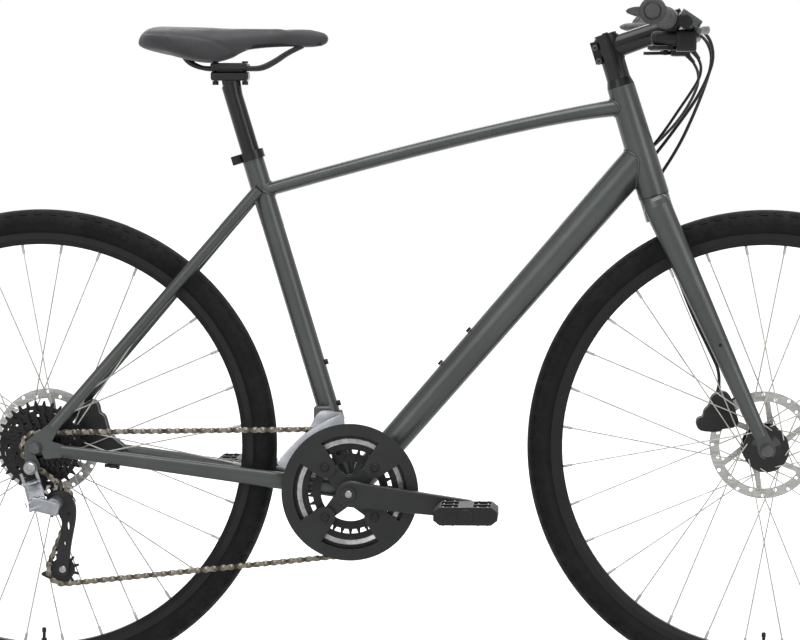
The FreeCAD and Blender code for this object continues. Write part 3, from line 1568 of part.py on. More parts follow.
saddle_origin = seat_point(seatpost_head_height) + up * saddle_rail_height
clamp_bolt_reaches = (-22.0, 22.0)


def saddle_clamp():
    """Plate that grips the rails on the post's cradle, with its two bolts."""
    plate = rounded_block(saddle_origin + up * 3, forward, left, (54.0, 56.0, 10.0), 2.5)
    low_plate = block(saddle_origin - up * 3.1, forward, left, (54.0, 56.0, 1.5))
    plate = plate.fuse(low_plate)
    for side in (-1, 1):
        rail = saddle_origin + left * (side * rail_spread)
        plate = plate.cut(rod(rail - forward * 60, rail + forward * 60, rail_radius + weld_gap))
    bolts = []
    for reach in clamp_bolt_reaches:
        spot = saddle_origin + forward * reach
        plate = plate.cut(rod(spot - up * 40, spot + up * 40, 2.7 + weld_gap))
        shank = rod(spot - up * 22, spot + up * 8.2, 2.7)
        head = rod(spot - up * 24, spot - up * 18.4, 4.6)
        nut = rod(spot + up * 8.2, spot + up * 11, 4.6)
        bolts.append(fused([shank, head, nut]))
    return Part.makeCompound([largest(plate)] + bolts)


saddle_rear = saddle_origin - forward * saddle_setback
cushion_low = saddle_top_height - 26.0


def rail_route(side):
    """One rail: from the back of the shell, level through the clamp and up to the nose."""
    shape = [(60, 36, 28), (72, 26, 8), (92, rail_spread, 0), (178, rail_spread, 0), (198, 15, 10), (217, 9, 23),
             (240, 7.5, 34)]
    return [saddle_rear + forward * x + left * (side * y) + up * z for x, y, z in shape]


def saddle_rails():
    rails = []
    for side in (-1, 1):
        route, radii = rounded_route(rail_route(side))
        rails.append(swept(route, rail_radius).cut(saddle_shell_solid(weld_gap)))
    return Part.makeCompound([largest(rail) for rail in rails])


def saddle_stations():
    """Half width, underside and top of the cushion at stations along the saddle."""
    wide = saddle_width / 2
    slim = nose_width / 2
    top = saddle_top_height
    return [
        (0.0, 0.42 * wide, top - 20, top - 6),
        (10.0, 0.74 * wide, top - 25, top + 1),
        (38.0, 0.98 * wide, top - 30, top + 1),
        (82.0, 0.86 * wide, top - 34, top),
        (126.0, 0.56 * wide, top - 31, top - 2),
        (170.0, 1.3 * slim, top - 25, top - 2),
        (225.0, 1.08 * slim, top - 22, top - 1),
        (268.0, 0.94 * slim, top - 21, top - 3),
        (saddle_length, 0.55 * slim, top - 19, top - 9),
    ]


def cushion_outline(station, half, low, high):
    """Crowned top, full shoulders and sides drawn in to the lower edge."""
    base = saddle_rear + forward * station
    shoulder = low + 0.62 * (high - low)
    drawn = 0.8 * half

    def spot(y, z):
        return base + left * y + up * z

    crown = Part.Arc(spot(half, shoulder), spot(0, high), spot(-half, shoulder)).toShape()
    right_side = Part.Arc(spot(-half, shoulder), spot(-0.95 * half, low + 0.25 * (high - low)), spot(-drawn, low))
    base_line = Part.LineSegment(spot(-drawn, low), spot(drawn, low)).toShape()
    left_side = Part.Arc(spot(drawn, low), spot(0.95 * half, low + 0.25 * (high - low)), spot(half, shoulder))
    return Part.Wire([crown, right_side.toShape(), base_line, left_side.toShape()])


def saddle_cushion():
    return loft([cushion_outline(*station) for station in saddle_stations()])


def saddle_shell_solid(grow=0.0):
    """Moulded base under the cushion."""
    wires = []
    thick = 4.0
    for station, half, low, high in saddle_stations()[1:-1]:
        base = saddle_rear + forward * station
        reach = 0.72 * half
        top = low - running_gap + grow
        bottom = low - running_gap - thick - grow
        corners = [base + left * y + up * z for y, z in ((-reach, top), (reach, top), (0.8 * reach, bottom),
                                                         (-0.8 * reach, bottom))]
        wires.append(Part.makePolygon(corners + [corners[0]]))
    return loft(wires)


def saddle_shell():
    return saddle_shell_solid()


# Cables
def near_bar(height, reach, side):
    """A point given from the middle of the bar, along the steering axis and ahead of it."""
    return steer_point(bar_height + height, stem_reach + reach, side)


def near_down_tube(height, reach, side):
    """A point given from where the down tube meets the steering axis."""
    return steer_point(down_tube_head_height + height, reach, side)


def right_side(point):
    return Vector(point.x, -point.y, point.z)


def front_brake_hose():
    """From the left lever, down the left of the head tube and the left blade to the caliper."""
    start = lever_outlet() - bar_slope * running_gap
    top, bottom = fork_leg_ends()
    route = [start, start - bar_slope * 30]
    for height, reach, side in ((-32, 42, 55), (-62, 42, 48), (-96, 20, 48), (-135, -11, 52), (-174, -46, 60)):
        route.append(near_bar(height, reach, side))
    for share, back, side in ((-0.08, -8, 72), (0.04, 0, 75), (0.18, 9, 76), (0.34, 16, 75), (0.5, 19, 73),
                              (0.64, 17, 69), (0.76, 16, 60)):
        beside = top + (bottom - top) * share
        route.append(Vector(beside.x - back, side, beside.z))
    route.append(caliper_inlet())
    body = cable("front_brake_hose", route, hose_radius)
    return largest(body.cut(front_caliper()))


def rear_brake_hose():
    start = right_side(lever_outlet() - bar_slope * running_gap)
    inward = right_side(bar_slope) * -1
    route = [start, start + inward * 30]
    for height, reach, side in ((-32, 42, -54), (-62, 40, -40), (-88, 22, -24), (-114, -3, -4), (-142, -39, 22)):
        route.append(near_bar(height, reach, side))
    for height, reach, side in ((0, 27, 43), (-27, -14, 43), (-47, -52, 30), (-63, -75, 12)):
        route.append(near_down_tube(height, reach, side))
    return route


def rear_shift_housing():
    start = right_side(shifter_outlet())
    way = right_side(shifter_heading)
    route = [start + way * running_gap, start + way * 25]
    for height, reach, side in ((-82, 12, -86), (-100, -7, -54), (-120, -31, -16), (-138, -52, 12)):
        route.append(near_bar(height, reach, side))
    for height, reach, side in ((11, 24, 32), (-10, -10, 38), (-23, -41, 30), (-32, -61, 12)):
        route.append(near_down_tube(height, reach, side))
    return route


def front_shift_housing():
    start = shifter_outlet()
    route = [start + shifter_heading * running_gap, start + shifter_heading * 25]
    for height, reach, side in ((-86, 16, 91), (-110, -4, 76), (-134, -32, 62)):
        route.append(near_bar(height, reach, side))
    for height, reach, side in ((12, 30, 50), (-2, -4, 45), (-7, -28, 32), (-16, -50, 12)):
        route.append(near_down_tube(height, reach, side))
    return route


def frame_cables():
    """The three lines that run into the left side of the down tube."""
    entry = down_tube_solid(-weld_gap)
    bodies = []
    for name, route, radius in (("rear_brake_hose", rear_brake_hose(), hose_radius),
                                ("rear_shift_housing", rear_shift_housing(), housing_radius),
                                ("front_shift_housing", front_shift_housing(), housing_radius)):
        bodies.append(largest(cable(name, route, radius).cut(entry)))
    return Part.makeCompound(bodies)


def nodes():
    """Every piece by the name of its file."""
    front_heading = Vector(-0.35, 0, 0.94)
    rear_heading = Vector(0.6, 0, 0.8)
    return {
        "head_tube": head_tube(),
        "top_tube": top_tube(),
        "down_tube": down_tube(),
        "seat_tube": seat_tube(),
        "bottom_bracket_shell": bottom_bracket_shell(),
        "chain_stays": together(chain_stays(), dropouts()),
        "seat_stays": seat_stays(),
        "frame_bearings": together(headset_bearings(), bottom_bracket_cartridge()),
        "seat_clamp": seat_clamp(),
        "bottle_bolts": bottle_bolts(),
        "rear_caliper": rear_caliper(),
        "front_derailleur": front_derailleur(),
        "front_derailleur_cage": front_derailleur_cage(),
        "derailleur_knuckle": derailleur_knuckle(),
        "derailleur_link": derailleur_link(),
        "derailleur_body": derailleur_body(),
        "derailleur_cage": derailleur_cage(),
        "tension_pulley": pulley(tension_pulley_centre, 1),
        "guide_pulley": pulley(guide_pulley_centre, 2),
        "chain": chain(),
        "frame_cables": frame_cables(),
        "rear_axle": axle(rear_axle, rear_hub_width, dropout_thickness),
        "rear_quick_release": quick_release(rear_axle, rear_hub_width, dropout_thickness, rear_heading),
        "fork_crown": fork_crown(),
        "fork_legs": fork_legs(),
        "headset_spacers": headset_spacers(),
        "stem": together(stem(), stem_faceplate()),
        "handlebar": handlebar(),
        "grips": grips(),
        "control_bodies": together(lever_bodies(), shifter_bodies()),
        "brake_lever_left": left_brake_lever(),
        "brake_lever_right": mirrored(left_brake_lever()),
        "shift_trigger_left": left_trigger(),
        "shift_trigger_right": mirrored(left_trigger()),
        "front_caliper": front_caliper(),
        "front_brake_hose": front_brake_hose(),
        "front_axle": axle(front_axle, front_hub_width, fork_dropout_thickness),
        "front_quick_release": quick_release(front_axle, front_hub_width, fork_dropout_thickness, front_heading),
        "front_tyre": tyre(front_axle),
        "front_rim": rim(front_axle),
        "front_spokes": spokes(front_axle, front_flange_right, front_flange_left),
        "front_hub": front_hub(),
        "front_rotor": rotor(front_axle, front_rotor_y),
        "rear_tyre": tyre(rear_axle),
        "rear_rim": rim(rear_axle),
        "rear_spokes": spokes(rear_axle, rear_flange_right, rear_flange_left),
        "rear_hub": rear_hub(),
        "rear_rotor": rotor(rear_axle, rear_rotor_y),
        "cassette": cassette(),
        "chainrings": chainrings(),
        "chain_guard": chain_guard(),
        "crank_arms": crank_arms(),
        "crank_axles": crank_axles(),
        "pedal_right": pedal_right(),
        "pedal_left": pedal_left(),
        "seatpost": seatpost(),
        "saddle_rails": together(saddle_rails(), saddle_clamp()),
        "saddle_shell": saddle_shell(),
        "saddle_cushion": saddle_cushion(),
    }


os.makedirs("parts", exist_ok=True)
for node_name, node_shape in nodes().items():
    node_shape.exportStep("parts/" + node_name + ".step")
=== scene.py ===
"""Looks of a hybrid bicycle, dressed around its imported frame.

Metres. +X is forward, +Y is the rider's left, +Z is up, and the ground is at Z = 0.
"""
import json
import math

import bmesh
import bpy
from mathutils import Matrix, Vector

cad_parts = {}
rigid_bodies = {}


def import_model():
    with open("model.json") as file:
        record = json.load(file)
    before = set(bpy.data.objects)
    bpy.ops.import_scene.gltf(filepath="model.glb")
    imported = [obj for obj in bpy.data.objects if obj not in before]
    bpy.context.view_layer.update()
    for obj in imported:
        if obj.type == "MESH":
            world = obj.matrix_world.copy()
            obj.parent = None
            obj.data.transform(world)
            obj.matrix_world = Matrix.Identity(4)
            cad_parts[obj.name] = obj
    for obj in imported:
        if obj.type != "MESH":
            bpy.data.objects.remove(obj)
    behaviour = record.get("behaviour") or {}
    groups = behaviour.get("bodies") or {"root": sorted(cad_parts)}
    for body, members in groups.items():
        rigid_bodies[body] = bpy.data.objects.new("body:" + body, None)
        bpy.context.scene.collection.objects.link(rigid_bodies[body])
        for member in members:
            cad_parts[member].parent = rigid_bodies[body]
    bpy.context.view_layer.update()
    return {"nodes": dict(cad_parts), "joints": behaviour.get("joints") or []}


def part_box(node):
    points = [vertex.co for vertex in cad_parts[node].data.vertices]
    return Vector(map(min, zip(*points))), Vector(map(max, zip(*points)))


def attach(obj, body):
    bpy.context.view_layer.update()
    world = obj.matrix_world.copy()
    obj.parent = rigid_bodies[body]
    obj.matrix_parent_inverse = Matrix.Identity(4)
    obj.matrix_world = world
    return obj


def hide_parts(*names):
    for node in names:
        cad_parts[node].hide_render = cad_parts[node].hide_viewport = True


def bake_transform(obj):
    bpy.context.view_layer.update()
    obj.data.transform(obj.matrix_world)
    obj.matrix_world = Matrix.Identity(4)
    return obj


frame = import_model()

# Places taken from the frame
joints = {joint["name"]: joint for joint in frame["joints"]}
left = Vector((0, 1, 0))
forward = Vector((1, 0, 0))
up = Vector((0, 0, 1))


def pivot(joint):
    return Vector(joints[joint]["pos_m"])


def axis_of(joint):
    return Vector(joints[joint]["axis"]).normalized()


front_hub = pivot("front_wheel_spin")
rear_hub = pivot("rear_wheel_spin")
bottom_bracket = pivot("crank_spin")
steer_foot = pivot("steering")
steer_axis = axis_of("steering")
steer_front = Vector((steer_axis.z, 0, -steer_axis.x))
seat_axis = axis_of("seatpost_slide")
guide_centre = pivot("guide_pulley_spin")
tension_centre = pivot("tension_pulley_spin")


def steer_point(height, reach=0.0, side=0.0):
    """A point given along the steering axis, ahead of it and to the left."""
    return steer_foot + steer_axis * height + steer_front * reach + left * side


# Modelling steps
def alone():
    """Object mode with nothing selected."""
    if bpy.context.object and bpy.context.object.mode != "OBJECT":
        bpy.ops.object.mode_set(mode="OBJECT")
    bpy.ops.object.select_all(action="DESELECT")


def chosen(piece):
    """Object mode with one piece active and selected."""
    alone()
    bpy.context.view_layer.objects.active = piece
    piece.select_set(True)


def opened(piece, action="DESELECT"):
    """Edit mode on one piece, with nothing or everything in it selected."""
    chosen(piece)
    bpy.ops.object.mode_set(mode="EDIT")
    bpy.ops.mesh.select_mode(type="VERT")
    bpy.ops.mesh.select_all(action=action)


def started(name, add, **options):
    """A primitive under its piece's name, with its place and size in its mesh."""
    alone()
    add(**options)
    piece = bpy.context.object
    piece.name = name
    bpy.ops.object.transform_apply(location=True, rotation=True, scale=True)
    return piece


def linked(name, data):
    """An object in the scene that holds the data."""
    item = bpy.data.objects.new(name, data)
    bpy.context.scene.collection.objects.link(item)
    return item


def pick(piece, test, kind="faces"):
    """Selects what passes the test among an open piece's faces, edges or verts."""
    shape = bmesh.from_edit_mesh(piece.data)
    shape.select_mode = {kind[:-1].upper()}
    kinds = ("verts", "edges", "faces")
    bpy.context.tool_settings.mesh_select_mode = [kind == each for each in kinds]
    for part in getattr(shape, kind):
        part.select_set(bool(test(part)))
    shape.select_flush_mode()
    bmesh.update_edit_mesh(piece.data)


def shaped(piece, place):
    """Moves every point of a piece to the place that a formula gives it."""
    alone()
    for vert in piece.data.vertices:
        vert.co = place(vert.co.copy())
    piece.data.update()
    return piece


def mended(piece, gap=0.00001):
    """Merges doubled points and turns the faces outwards."""
    opened(piece, "SELECT")
    bpy.ops.mesh.remove_doubles(threshold=gap)
    bpy.ops.mesh.normals_make_consistent(inside=False)
    alone()
    return piece


def worked(piece, kind, **settings):
    """Adds a modifier with its settings and applies it."""
    chosen(piece)
    modifier = piece.modifiers.new(kind.lower(), kind)
    for key, value in settings.items():
        setattr(modifier, key, value)
    bpy.ops.object.modifier_apply(modifier=modifier.name)
    return piece


def turned(name, centre, axis, profile, steps=32):
    """A round piece: (along, radius) pairs drawn from one point and spun about the axis."""
    axis = Vector(axis).normalized()
    side = axis.orthogonal().normalized()
    spots = [centre + axis * along + side * radius for along, radius in profile]
    piece = started(name, bpy.ops.mesh.primitive_plane_add, size=0.001, location=spots[0])
    opened(piece, "SELECT")
    bpy.ops.mesh.merge(type="CENTER")
    for before, after in zip(spots, spots[1:]):
        bpy.ops.mesh.extrude_vertices_move(TRANSFORM_OT_translate={"value": after - before})
    bpy.ops.mesh.select_all(action="SELECT")
    bpy.ops.mesh.spin(steps=steps, angle=2 * math.pi, center=centre, axis=axis)
    return mended(piece)


def ring(name, centre, axis, profile, steps):
    """A round piece with a hole, whose outline closes on itself."""
    return turned(name, centre, axis, [*profile, profile[0]], steps)


def rounded_bar(name, start, end, radius, soft=0.25, steps=20):
    """A short bar with softened ends."""
    length = (end - start).length
    edge = radius * soft
    profile = [(0, 0), (0, radius - edge), (edge, radius), (length - edge, radius),
               (length, radius - edge), (length, 0)]
    return turned(name, start, end - start, profile, steps)


def socket_bolt(name, seat, way, radius, height, turns=20):
    """A bolt head with a sunk socket, standing on its seat."""
    edge = radius * 0.18
    socket = radius * 0.52
    socket_foot = height * 0.4
    profile = [(0, 0), (0, radius), (height - edge, radius), (height, radius - edge),
               (height, socket), (socket_foot, socket * 0.92), (socket_foot, 0)]
    return turned(name, seat, way, profile, turns)


def plate(name, outline, y, thickness, soft=0.0005, holes=()):
    """A flat piece in side view with rounded edges, from control points round it and its holes."""
    line = bpy.data.curves.new(name, "CURVE")
    line.dimensions = "2D"
    line.fill_mode = "BOTH"
    line.extrude = thickness / 2 - soft
    line.bevel_depth = soft
    line.bevel_resolution = 1
    for loop in (outline, *holes):
        spline = line.splines.new("NURBS")
        spline.points.add(len(loop) - 1)
        for point, (x, z) in zip(spline.points, loop):
            point.co = (x, z, 0, 1)
        spline.use_cyclic_u = True
        spline.order_u = 3
        spline.resolution_u = 5
    piece = linked(name, line)
    piece.rotation_euler = (math.pi / 2, 0, 0)
    piece.location = (0, y, 0)
    chosen(piece)
    bpy.ops.object.convert(target="MESH")
    bpy.ops.object.transform_apply(location=True, rotation=True, scale=True)
    return mended(bpy.context.object)


def joined(name, pieces):
    """Several meshes as one piece."""
    chosen(pieces[0])
    for piece in pieces:
        piece.select_set(True)
    bpy.ops.object.join()
    pieces[0].name = name
    return pieces[0]


def copied(node, name):
    """A copy of a CAD node's mesh, merged into whole surfaces."""
    source = frame["nodes"][node]
    piece = source.copy()
    piece.data = source.data.copy()
    piece.parent = None
    for key in list(piece.keys()):
        del piece[key]
    bpy.context.scene.collection.objects.link(piece)
    piece.name = name
    opened(piece, "SELECT")
    bpy.ops.mesh.remove_doubles(threshold=0.000002)
    alone()
    return piece


def dressed(piece, body, material, angle=35):
    """Gives a finished piece its shading, finish and body."""
    chosen(piece)
    bpy.ops.object.shade_smooth_by_angle(angle=math.radians(angle))
    piece.data.materials.clear()
    piece.data.materials.append(material)
    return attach(piece, body)


# Shared effects of the finishes
coat_roughness = 0.12
flake_scale = 2500.0
grain_depth = 0.0004


def added(tree, kind, values=None, **options):
    """A shader node with its options and the values of its inputs."""
    node = tree.nodes.new("ShaderNode" + kind)
    for key, value in options.items():
        setattr(node, key, value)
    for key, value in (values or {}).items():
        node.inputs[key].default_value = value
    return node


def wired(tree, *links):
    """Joins outputs to inputs."""
    for output, entry in links:
        tree.links.new(output, entry)


def new_group(name, result, **values):
    """An effect of a vector and some numbers, with one number as its result."""
    group = bpy.data.node_groups.new(name, "ShaderNodeTree")
    socket = group.interface.new_socket
    socket("Vector", in_out="INPUT", socket_type="NodeSocketVector")
    for key, value in values.items():
        socket(key, in_out="INPUT", socket_type="NodeSocketFloat").default_value = value
    socket(result, in_out="OUTPUT", socket_type="NodeSocketFloat")
    source = group.nodes.new("NodeGroupInput").outputs
    return group, source, group.nodes.new("NodeGroupOutput").inputs[result]


def cloudy_group():
    """Soft patches between two values."""
    group, source, result = new_group("cloudy", "Value", Scale=20.0, Low=0.0, High=1.0)
    noise = added(group, "TexNoise", {"Detail": 4.0})
    spread = added(group, "MapRange", {"From Min": 0.3, "From Max": 0.7})
    wired(group,
          (source["Vector"], noise.inputs["Vector"]), (source["Scale"], noise.inputs["Scale"]),
          (noise.outputs["Fac"], spread.inputs["Value"]), (source["Low"], spread.inputs["To Min"]),
          (source["High"], spread.inputs["To Max"]), (spread.outputs["Result"], result))
    return group


def pebble_group():
    """Moulded or leathery grain: rounded cells with a finer roughness over them."""
    group, source, result = new_group("pebble", "Height", Scale=400.0)
    cells = added(group, "TexVoronoi", feature="SMOOTH_F1")
    noise = added(group, "TexNoise", {"Detail": 3.0})
    finer = added(group, "Math", {1: 2.6}, operation="MULTIPLY")
    total = added(group, "Math", operation="ADD")
    wired(group,
          (source["Vector"], cells.inputs["Vector"]), (source["Vector"], noise.inputs["Vector"]),
          (source["Scale"], cells.inputs["Scale"]), (source["Scale"], finer.inputs[0]),
          (finer.outputs[0], noise.inputs["Scale"]), (cells.outputs["Distance"], total.inputs[0]),
          (noise.outputs["Fac"], total.inputs[1]), (total.outputs[0], result))
    return group


def flake_group():
    """A random value for each tiny cell, as in metallic paint."""
    group, source, result = new_group("flake", "Value", Scale=flake_scale)
    cells = added(group, "TexVoronoi")
    split = added(group, "SeparateColor")
    wired(group,
          (source["Vector"], cells.inputs["Vector"]), (source["Scale"], cells.inputs["Scale"]),
          (cells.outputs["Color"], split.inputs["Color"]), (split.outputs["Red"], result))
    return group


cloudy = cloudy_group()
pebble = pebble_group()
flake = flake_group()


def placed(tree, group, vector, **values):
    """A shared effect in a material, with its own values."""
    node = added(tree, "Group", values, node_tree=group)
    tree.links.new(vector, node.inputs["Vector"])
    return node


def surface(name, dark, light, rough, patch=30.0, metallic=0.0, grain=0.0, grain_scale=600.0,
            stretch=(1, 1, 1), flakes=0.0, coat=0.0, sheen=0.0, specular=0.5):
    """A finish whose colour, roughness and grain vary over the surface."""
    material = bpy.data.materials.new(name)
    material.use_nodes = True
    tree = material.node_tree
    shader = tree.nodes["Principled BSDF"].inputs
    shader["Metallic"].default_value = metallic
    shader["Coat Weight"].default_value = coat
    shader["Coat Roughness"].default_value = coat_roughness
    shader["Sheen Weight"].default_value = sheen
    shader["Specular IOR Level"].default_value = specular
    mapping = added(tree, "Mapping", {"Scale": stretch})
    vector = mapping.outputs["Vector"]
    tone = placed(tree, cloudy, vector, Scale=patch, Low=0.0, High=1.0).outputs["Value"]
    if flakes:
        sparkle = placed(tree, flake, vector, Scale=flake_scale)
        mix = added(tree, "Math", {1: flakes}, operation="MULTIPLY_ADD")
        wired(tree, (sparkle.outputs["Value"], mix.inputs[0]), (tone, mix.inputs[2]))
        tone = mix.outputs[0]
    ramp = added(tree, "ValToRGB")
    ramp.color_ramp.elements[0].color = (*dark, 1)
    ramp.color_ramp.elements[1].color = (*light, 1)
    dull = placed(tree, cloudy, vector, Scale=patch * 2.3, Low=rough[0], High=rough[1])
    wired(tree,
          (added(tree, "TexCoord").outputs["Object"], mapping.inputs["Vector"]),
          (tone, ramp.inputs["Fac"]), (ramp.outputs["Color"], shader["Base Color"]),
          (dull.outputs["Value"], shader["Roughness"]))
    if grain:
        height = placed(tree, pebble, vector, Scale=grain_scale)
        bump = added(tree, "Bump", {"Strength": grain, "Distance": grain_depth})
        wired(tree, (height.outputs["Height"], bump.inputs["Height"]),
              (bump.outputs["Normal"], shader["Normal"]))
    return material


# Finishes
frame_paint = surface("frame_paint", (0.030, 0.035, 0.033), (0.046, 0.052, 0.049), (0.34, 0.42),
                      patch=9.0, metallic=0.5, flakes=0.3, coat=0.2)
gloss_black = surface("gloss_black", (0.005, 0.005, 0.006), (0.010, 0.010, 0.011), (0.18, 0.28),
                      patch=14.0, coat=0.12, specular=0.2)
satin_black = surface("satin_black", (0.007, 0.007, 0.008), (0.013, 0.013, 0.014), (0.38, 0.5),
                      patch=25.0, grain=0.12, grain_scale=1300.0, specular=0.25)
rim_black = surface("rim_black", (0.004, 0.004, 0.0045), (0.008, 0.008, 0.009), (0.36, 0.48),
                    patch=18.0, grain=0.08, grain_scale=1400.0, specular=0.2)
crank_satin = surface("crank_satin", (0.008, 0.0085, 0.009), (0.015, 0.0155, 0.0165), (0.36, 0.46),
                      patch=20.0, metallic=0.3, grain=0.06, grain_scale=1500.0, specular=0.4)
guard_plastic = surface("guard_plastic", (0.007, 0.0073, 0.0078), (0.013, 0.0134, 0.0145),
                        (0.42, 0.55), patch=22.0, grain=0.2, grain_scale=1100.0, specular=0.3)
moulded_black = surface("moulded_black", (0.005, 0.005, 0.006), (0.010, 0.010, 0.011), (0.42, 0.58),
                        patch=40.0, grain=0.25, grain_scale=1100.0, specular=0.25)
bright_alloy = surface("bright_alloy", (0.17, 0.18, 0.195), (0.30, 0.31, 0.33), (0.26, 0.38),
                       patch=35.0, metallic=0.9, stretch=(1, 6, 1), grain=0.08, grain_scale=900.0)
lever_grey = surface("lever_grey", (0.045, 0.046, 0.048), (0.080, 0.082, 0.085), (0.32, 0.42),
                     patch=40.0, metallic=0.5, grain=0.06, grain_scale=1500.0)
spoke_steel = surface("spoke_steel", (0.28, 0.27, 0.25), (0.42, 0.41, 0.38), (0.34, 0.46),
                      patch=60.0, metallic=0.9)
rotor_steel = surface("rotor_steel", (0.27, 0.27, 0.26), (0.42, 0.42, 0.40), (0.26, 0.42),
                      patch=50.0, metallic=0.9, stretch=(1, 1, 9), grain=0.06, grain_scale=700.0)
bolt_steel = surface("bolt_steel", (0.20, 0.20, 0.20), (0.34, 0.34, 0.34), (0.24, 0.38),
                     patch=120.0, metallic=0.9)
chain_nickel = surface("chain_nickel", (0.115, 0.102, 0.080), (0.21, 0.19, 0.155), (0.28, 0.44),
                       patch=110.0, metallic=0.85, grain=0.05)
chain_dark = surface("chain_dark", (0.030, 0.026, 0.020), (0.070, 0.060, 0.048), (0.34, 0.5),
                     patch=110.0, metallic=0.8, grain=0.05)
cog_black = surface("cog_black", (0.006, 0.006, 0.006), (0.016, 0.0155, 0.015), (0.30, 0.44),
                    patch=60.0, metallic=0.5, grain=0.05, specular=0.3)
tyre_rubber = surface("tyre_rubber", (0.004, 0.004, 0.0042), (0.008, 0.008, 0.0085), (0.62, 0.8),
                      patch=20.0, grain=0.35, grain_scale=900.0, specular=0.15)
grip_rubber = surface("grip_rubber", (0.040, 0.041, 0.042), (0.062, 0.063, 0.065), (0.55, 0.7),
                      patch=50.0, grain=0.6, grain_scale=800.0, specular=0.3)
hose_black = surface("hose_black", (0.004, 0.004, 0.005), (0.008, 0.008, 0.009), (0.30, 0.40),
                     patch=80.0, grain=0.1, grain_scale=1600.0, specular=0.25)
saddle_cover = surface("saddle_cover", (0.024, 0.024, 0.026), (0.038, 0.038, 0.041), (0.52, 0.66),
                       patch=16.0, grain=0.5, grain_scale=1000.0, sheen=0.1, specular=0.3)

node_finishes = {
    frame_paint: ["head_tube", "top_tube", "down_tube", "seat_tube", "bottom_bracket_shell",
                  "chain_stays", "seat_stays", "fork_crown", "fork_legs"],
    gloss_black: ["seat_clamp", "stem", "handlebar", "seatpost", "headset_spacers", "front_hub",
                  "rear_hub"],
    satin_black: ["frame_bearings", "front_caliper", "rear_caliper", "derailleur_cage",
                  "bottle_bolts", "saddle_rails", "crank_axles"],
    rim_black: ["front_rim", "rear_rim"],
    crank_satin: ["crank_arms"],
    guard_plastic: ["chain_guard"],
    moulded_black: ["control_bodies", "guide_pulley", "tension_pulley", "pedal_right", "pedal_left",
                    "saddle_shell", "shift_trigger_left", "shift_trigger_right"],
    bright_alloy: ["derailleur_link", "derailleur_body", "derailleur_knuckle",
                   "front_derailleur_cage", "rear_quick_release", "front_quick_release"],
    lever_grey: ["brake_lever_left", "brake_lever_right", "front_derailleur", "rear_axle",
                 "front_axle"],
    spoke_steel: ["front_spokes", "rear_spokes"],
    rotor_steel: ["front_rotor", "rear_rotor"],
    cog_black: ["cassette", "chainrings"],
    chain_nickel: ["chain"],
    tyre_rubber: ["front_tyre", "rear_tyre"],
    grip_rubber: ["grips"],
    hose_black: ["frame_cables", "front_brake_hose"],
    saddle_cover: ["saddle_cushion"],
}
for finish, names in node_finishes.items():
    for node in names:
        frame["nodes"][node].data.materials.clear()
        frame["nodes"][node].data.materials.append(finish)


def bolted(name, seat, way, size, body, finish=bolt_steel, turns=20):
    """A bolt head of a radius and height on a body."""
    return dressed(socket_bolt(name, seat, way, *size, turns), body, finish)


# Stage and camera
white = (1, 1, 1, 1)
floor_size = 60
floor_colour = (0.86, 0.86, 0.86, 1)
floor_roughness = 0.9
floor_glow = 0.36
near_floor = 1.0
far_floor = 3.2
world_light = 0.28
camera_place = (0.250, -5.0, 0.790)
camera_target = (-0.003, 0.0, 0.538)
camera_lens = 152.0


def bright_ray(tree):
    """One where a ray should see white surroundings: from the camera, in gloss, through glass."""
    path = added(tree, "LightPath").outputs
    either = added(tree, "Math", operation="MAXIMUM")
    any_ray = added(tree, "Math", operation="MAXIMUM")
    wired(tree,
          (path["Is Camera Ray"], either.inputs[0]), (path["Is Glossy Ray"], either.inputs[1]),
          (either.outputs[0], any_ray.inputs[0]), (path["Is Transmission Ray"], any_ray.inputs[1]))
    return any_ray.outputs[0]


def pale_floor():
    """A floor that the lamps and its own glow bring to white, except in the shadow."""
    floor = started("floor", bpy.ops.mesh.primitive_plane_add, size=floor_size)
    pale = bpy.data.materials.new("pale_floor")
    pale.use_nodes = True
    tree = pale.node_tree
    shader = tree.nodes["Principled BSDF"]
    shader.inputs["Base Color"].default_value = floor_colour
    shader.inputs["Roughness"].default_value = floor_roughness
    glow = added(tree, "Emission", {"Color": white})
    level = added(tree, "Math", operation="MULTIPLY")
    distance = added(tree, "VectorMath", operation="LENGTH")
    fade = added(tree, "MapRange", {"From Min": near_floor, "From Max": far_floor,
                                    "To Min": floor_glow, "To Max": 1.0})
    total = added(tree, "AddShader")
    wired(tree,
          (added(tree, "TexCoord").outputs["Object"], distance.inputs[0]),
          (distance.outputs["Value"], fade.inputs["Value"]),
          (bright_ray(tree), level.inputs[0]), (fade.outputs["Result"], level.inputs[1]),
          (level.outputs[0], glow.inputs["Strength"]),
          (shader.outputs["BSDF"], total.inputs[0]), (glow.outputs["Emission"], total.inputs[1]),
          (total.outputs["Shader"], tree.nodes["Material Output"].inputs["Surface"]))
    floor.data.materials.append(pale)


def white_world():
    world = bpy.data.worlds.new("studio")
    bpy.context.scene.world = world
    world.use_nodes = True
    tree = world.node_tree
    light = tree.nodes["Background"]
    light.inputs["Color"].default_value = white
    light.inputs["Strength"].default_value = world_light
    backdrop = added(tree, "Background", {"Color": white})
    mix = added(tree, "MixShader")
    wired(tree,
          (bright_ray(tree), mix.inputs["Fac"]), (light.outputs["Background"], mix.inputs[1]),
          (backdrop.outputs["Background"], mix.inputs[2]),
          (mix.outputs["Shader"], tree.nodes["World Output"].inputs["Surface"]))


def aimed(item, place, target):
    """Sets a lamp or camera in its place, looking at the target."""
    item.location = place
    way = Vector(target) - Vector(place)
    item.rotation_euler = way.to_track_quat("-Z", "Y").to_euler()


def lamp(name, place, target, size, power):
    data = bpy.data.lights.new(name, "AREA")
    data.shape = "RECTANGLE"
    data.size, data.size_y = size
    data.energy = power
    aimed(linked(name, data), place, target)


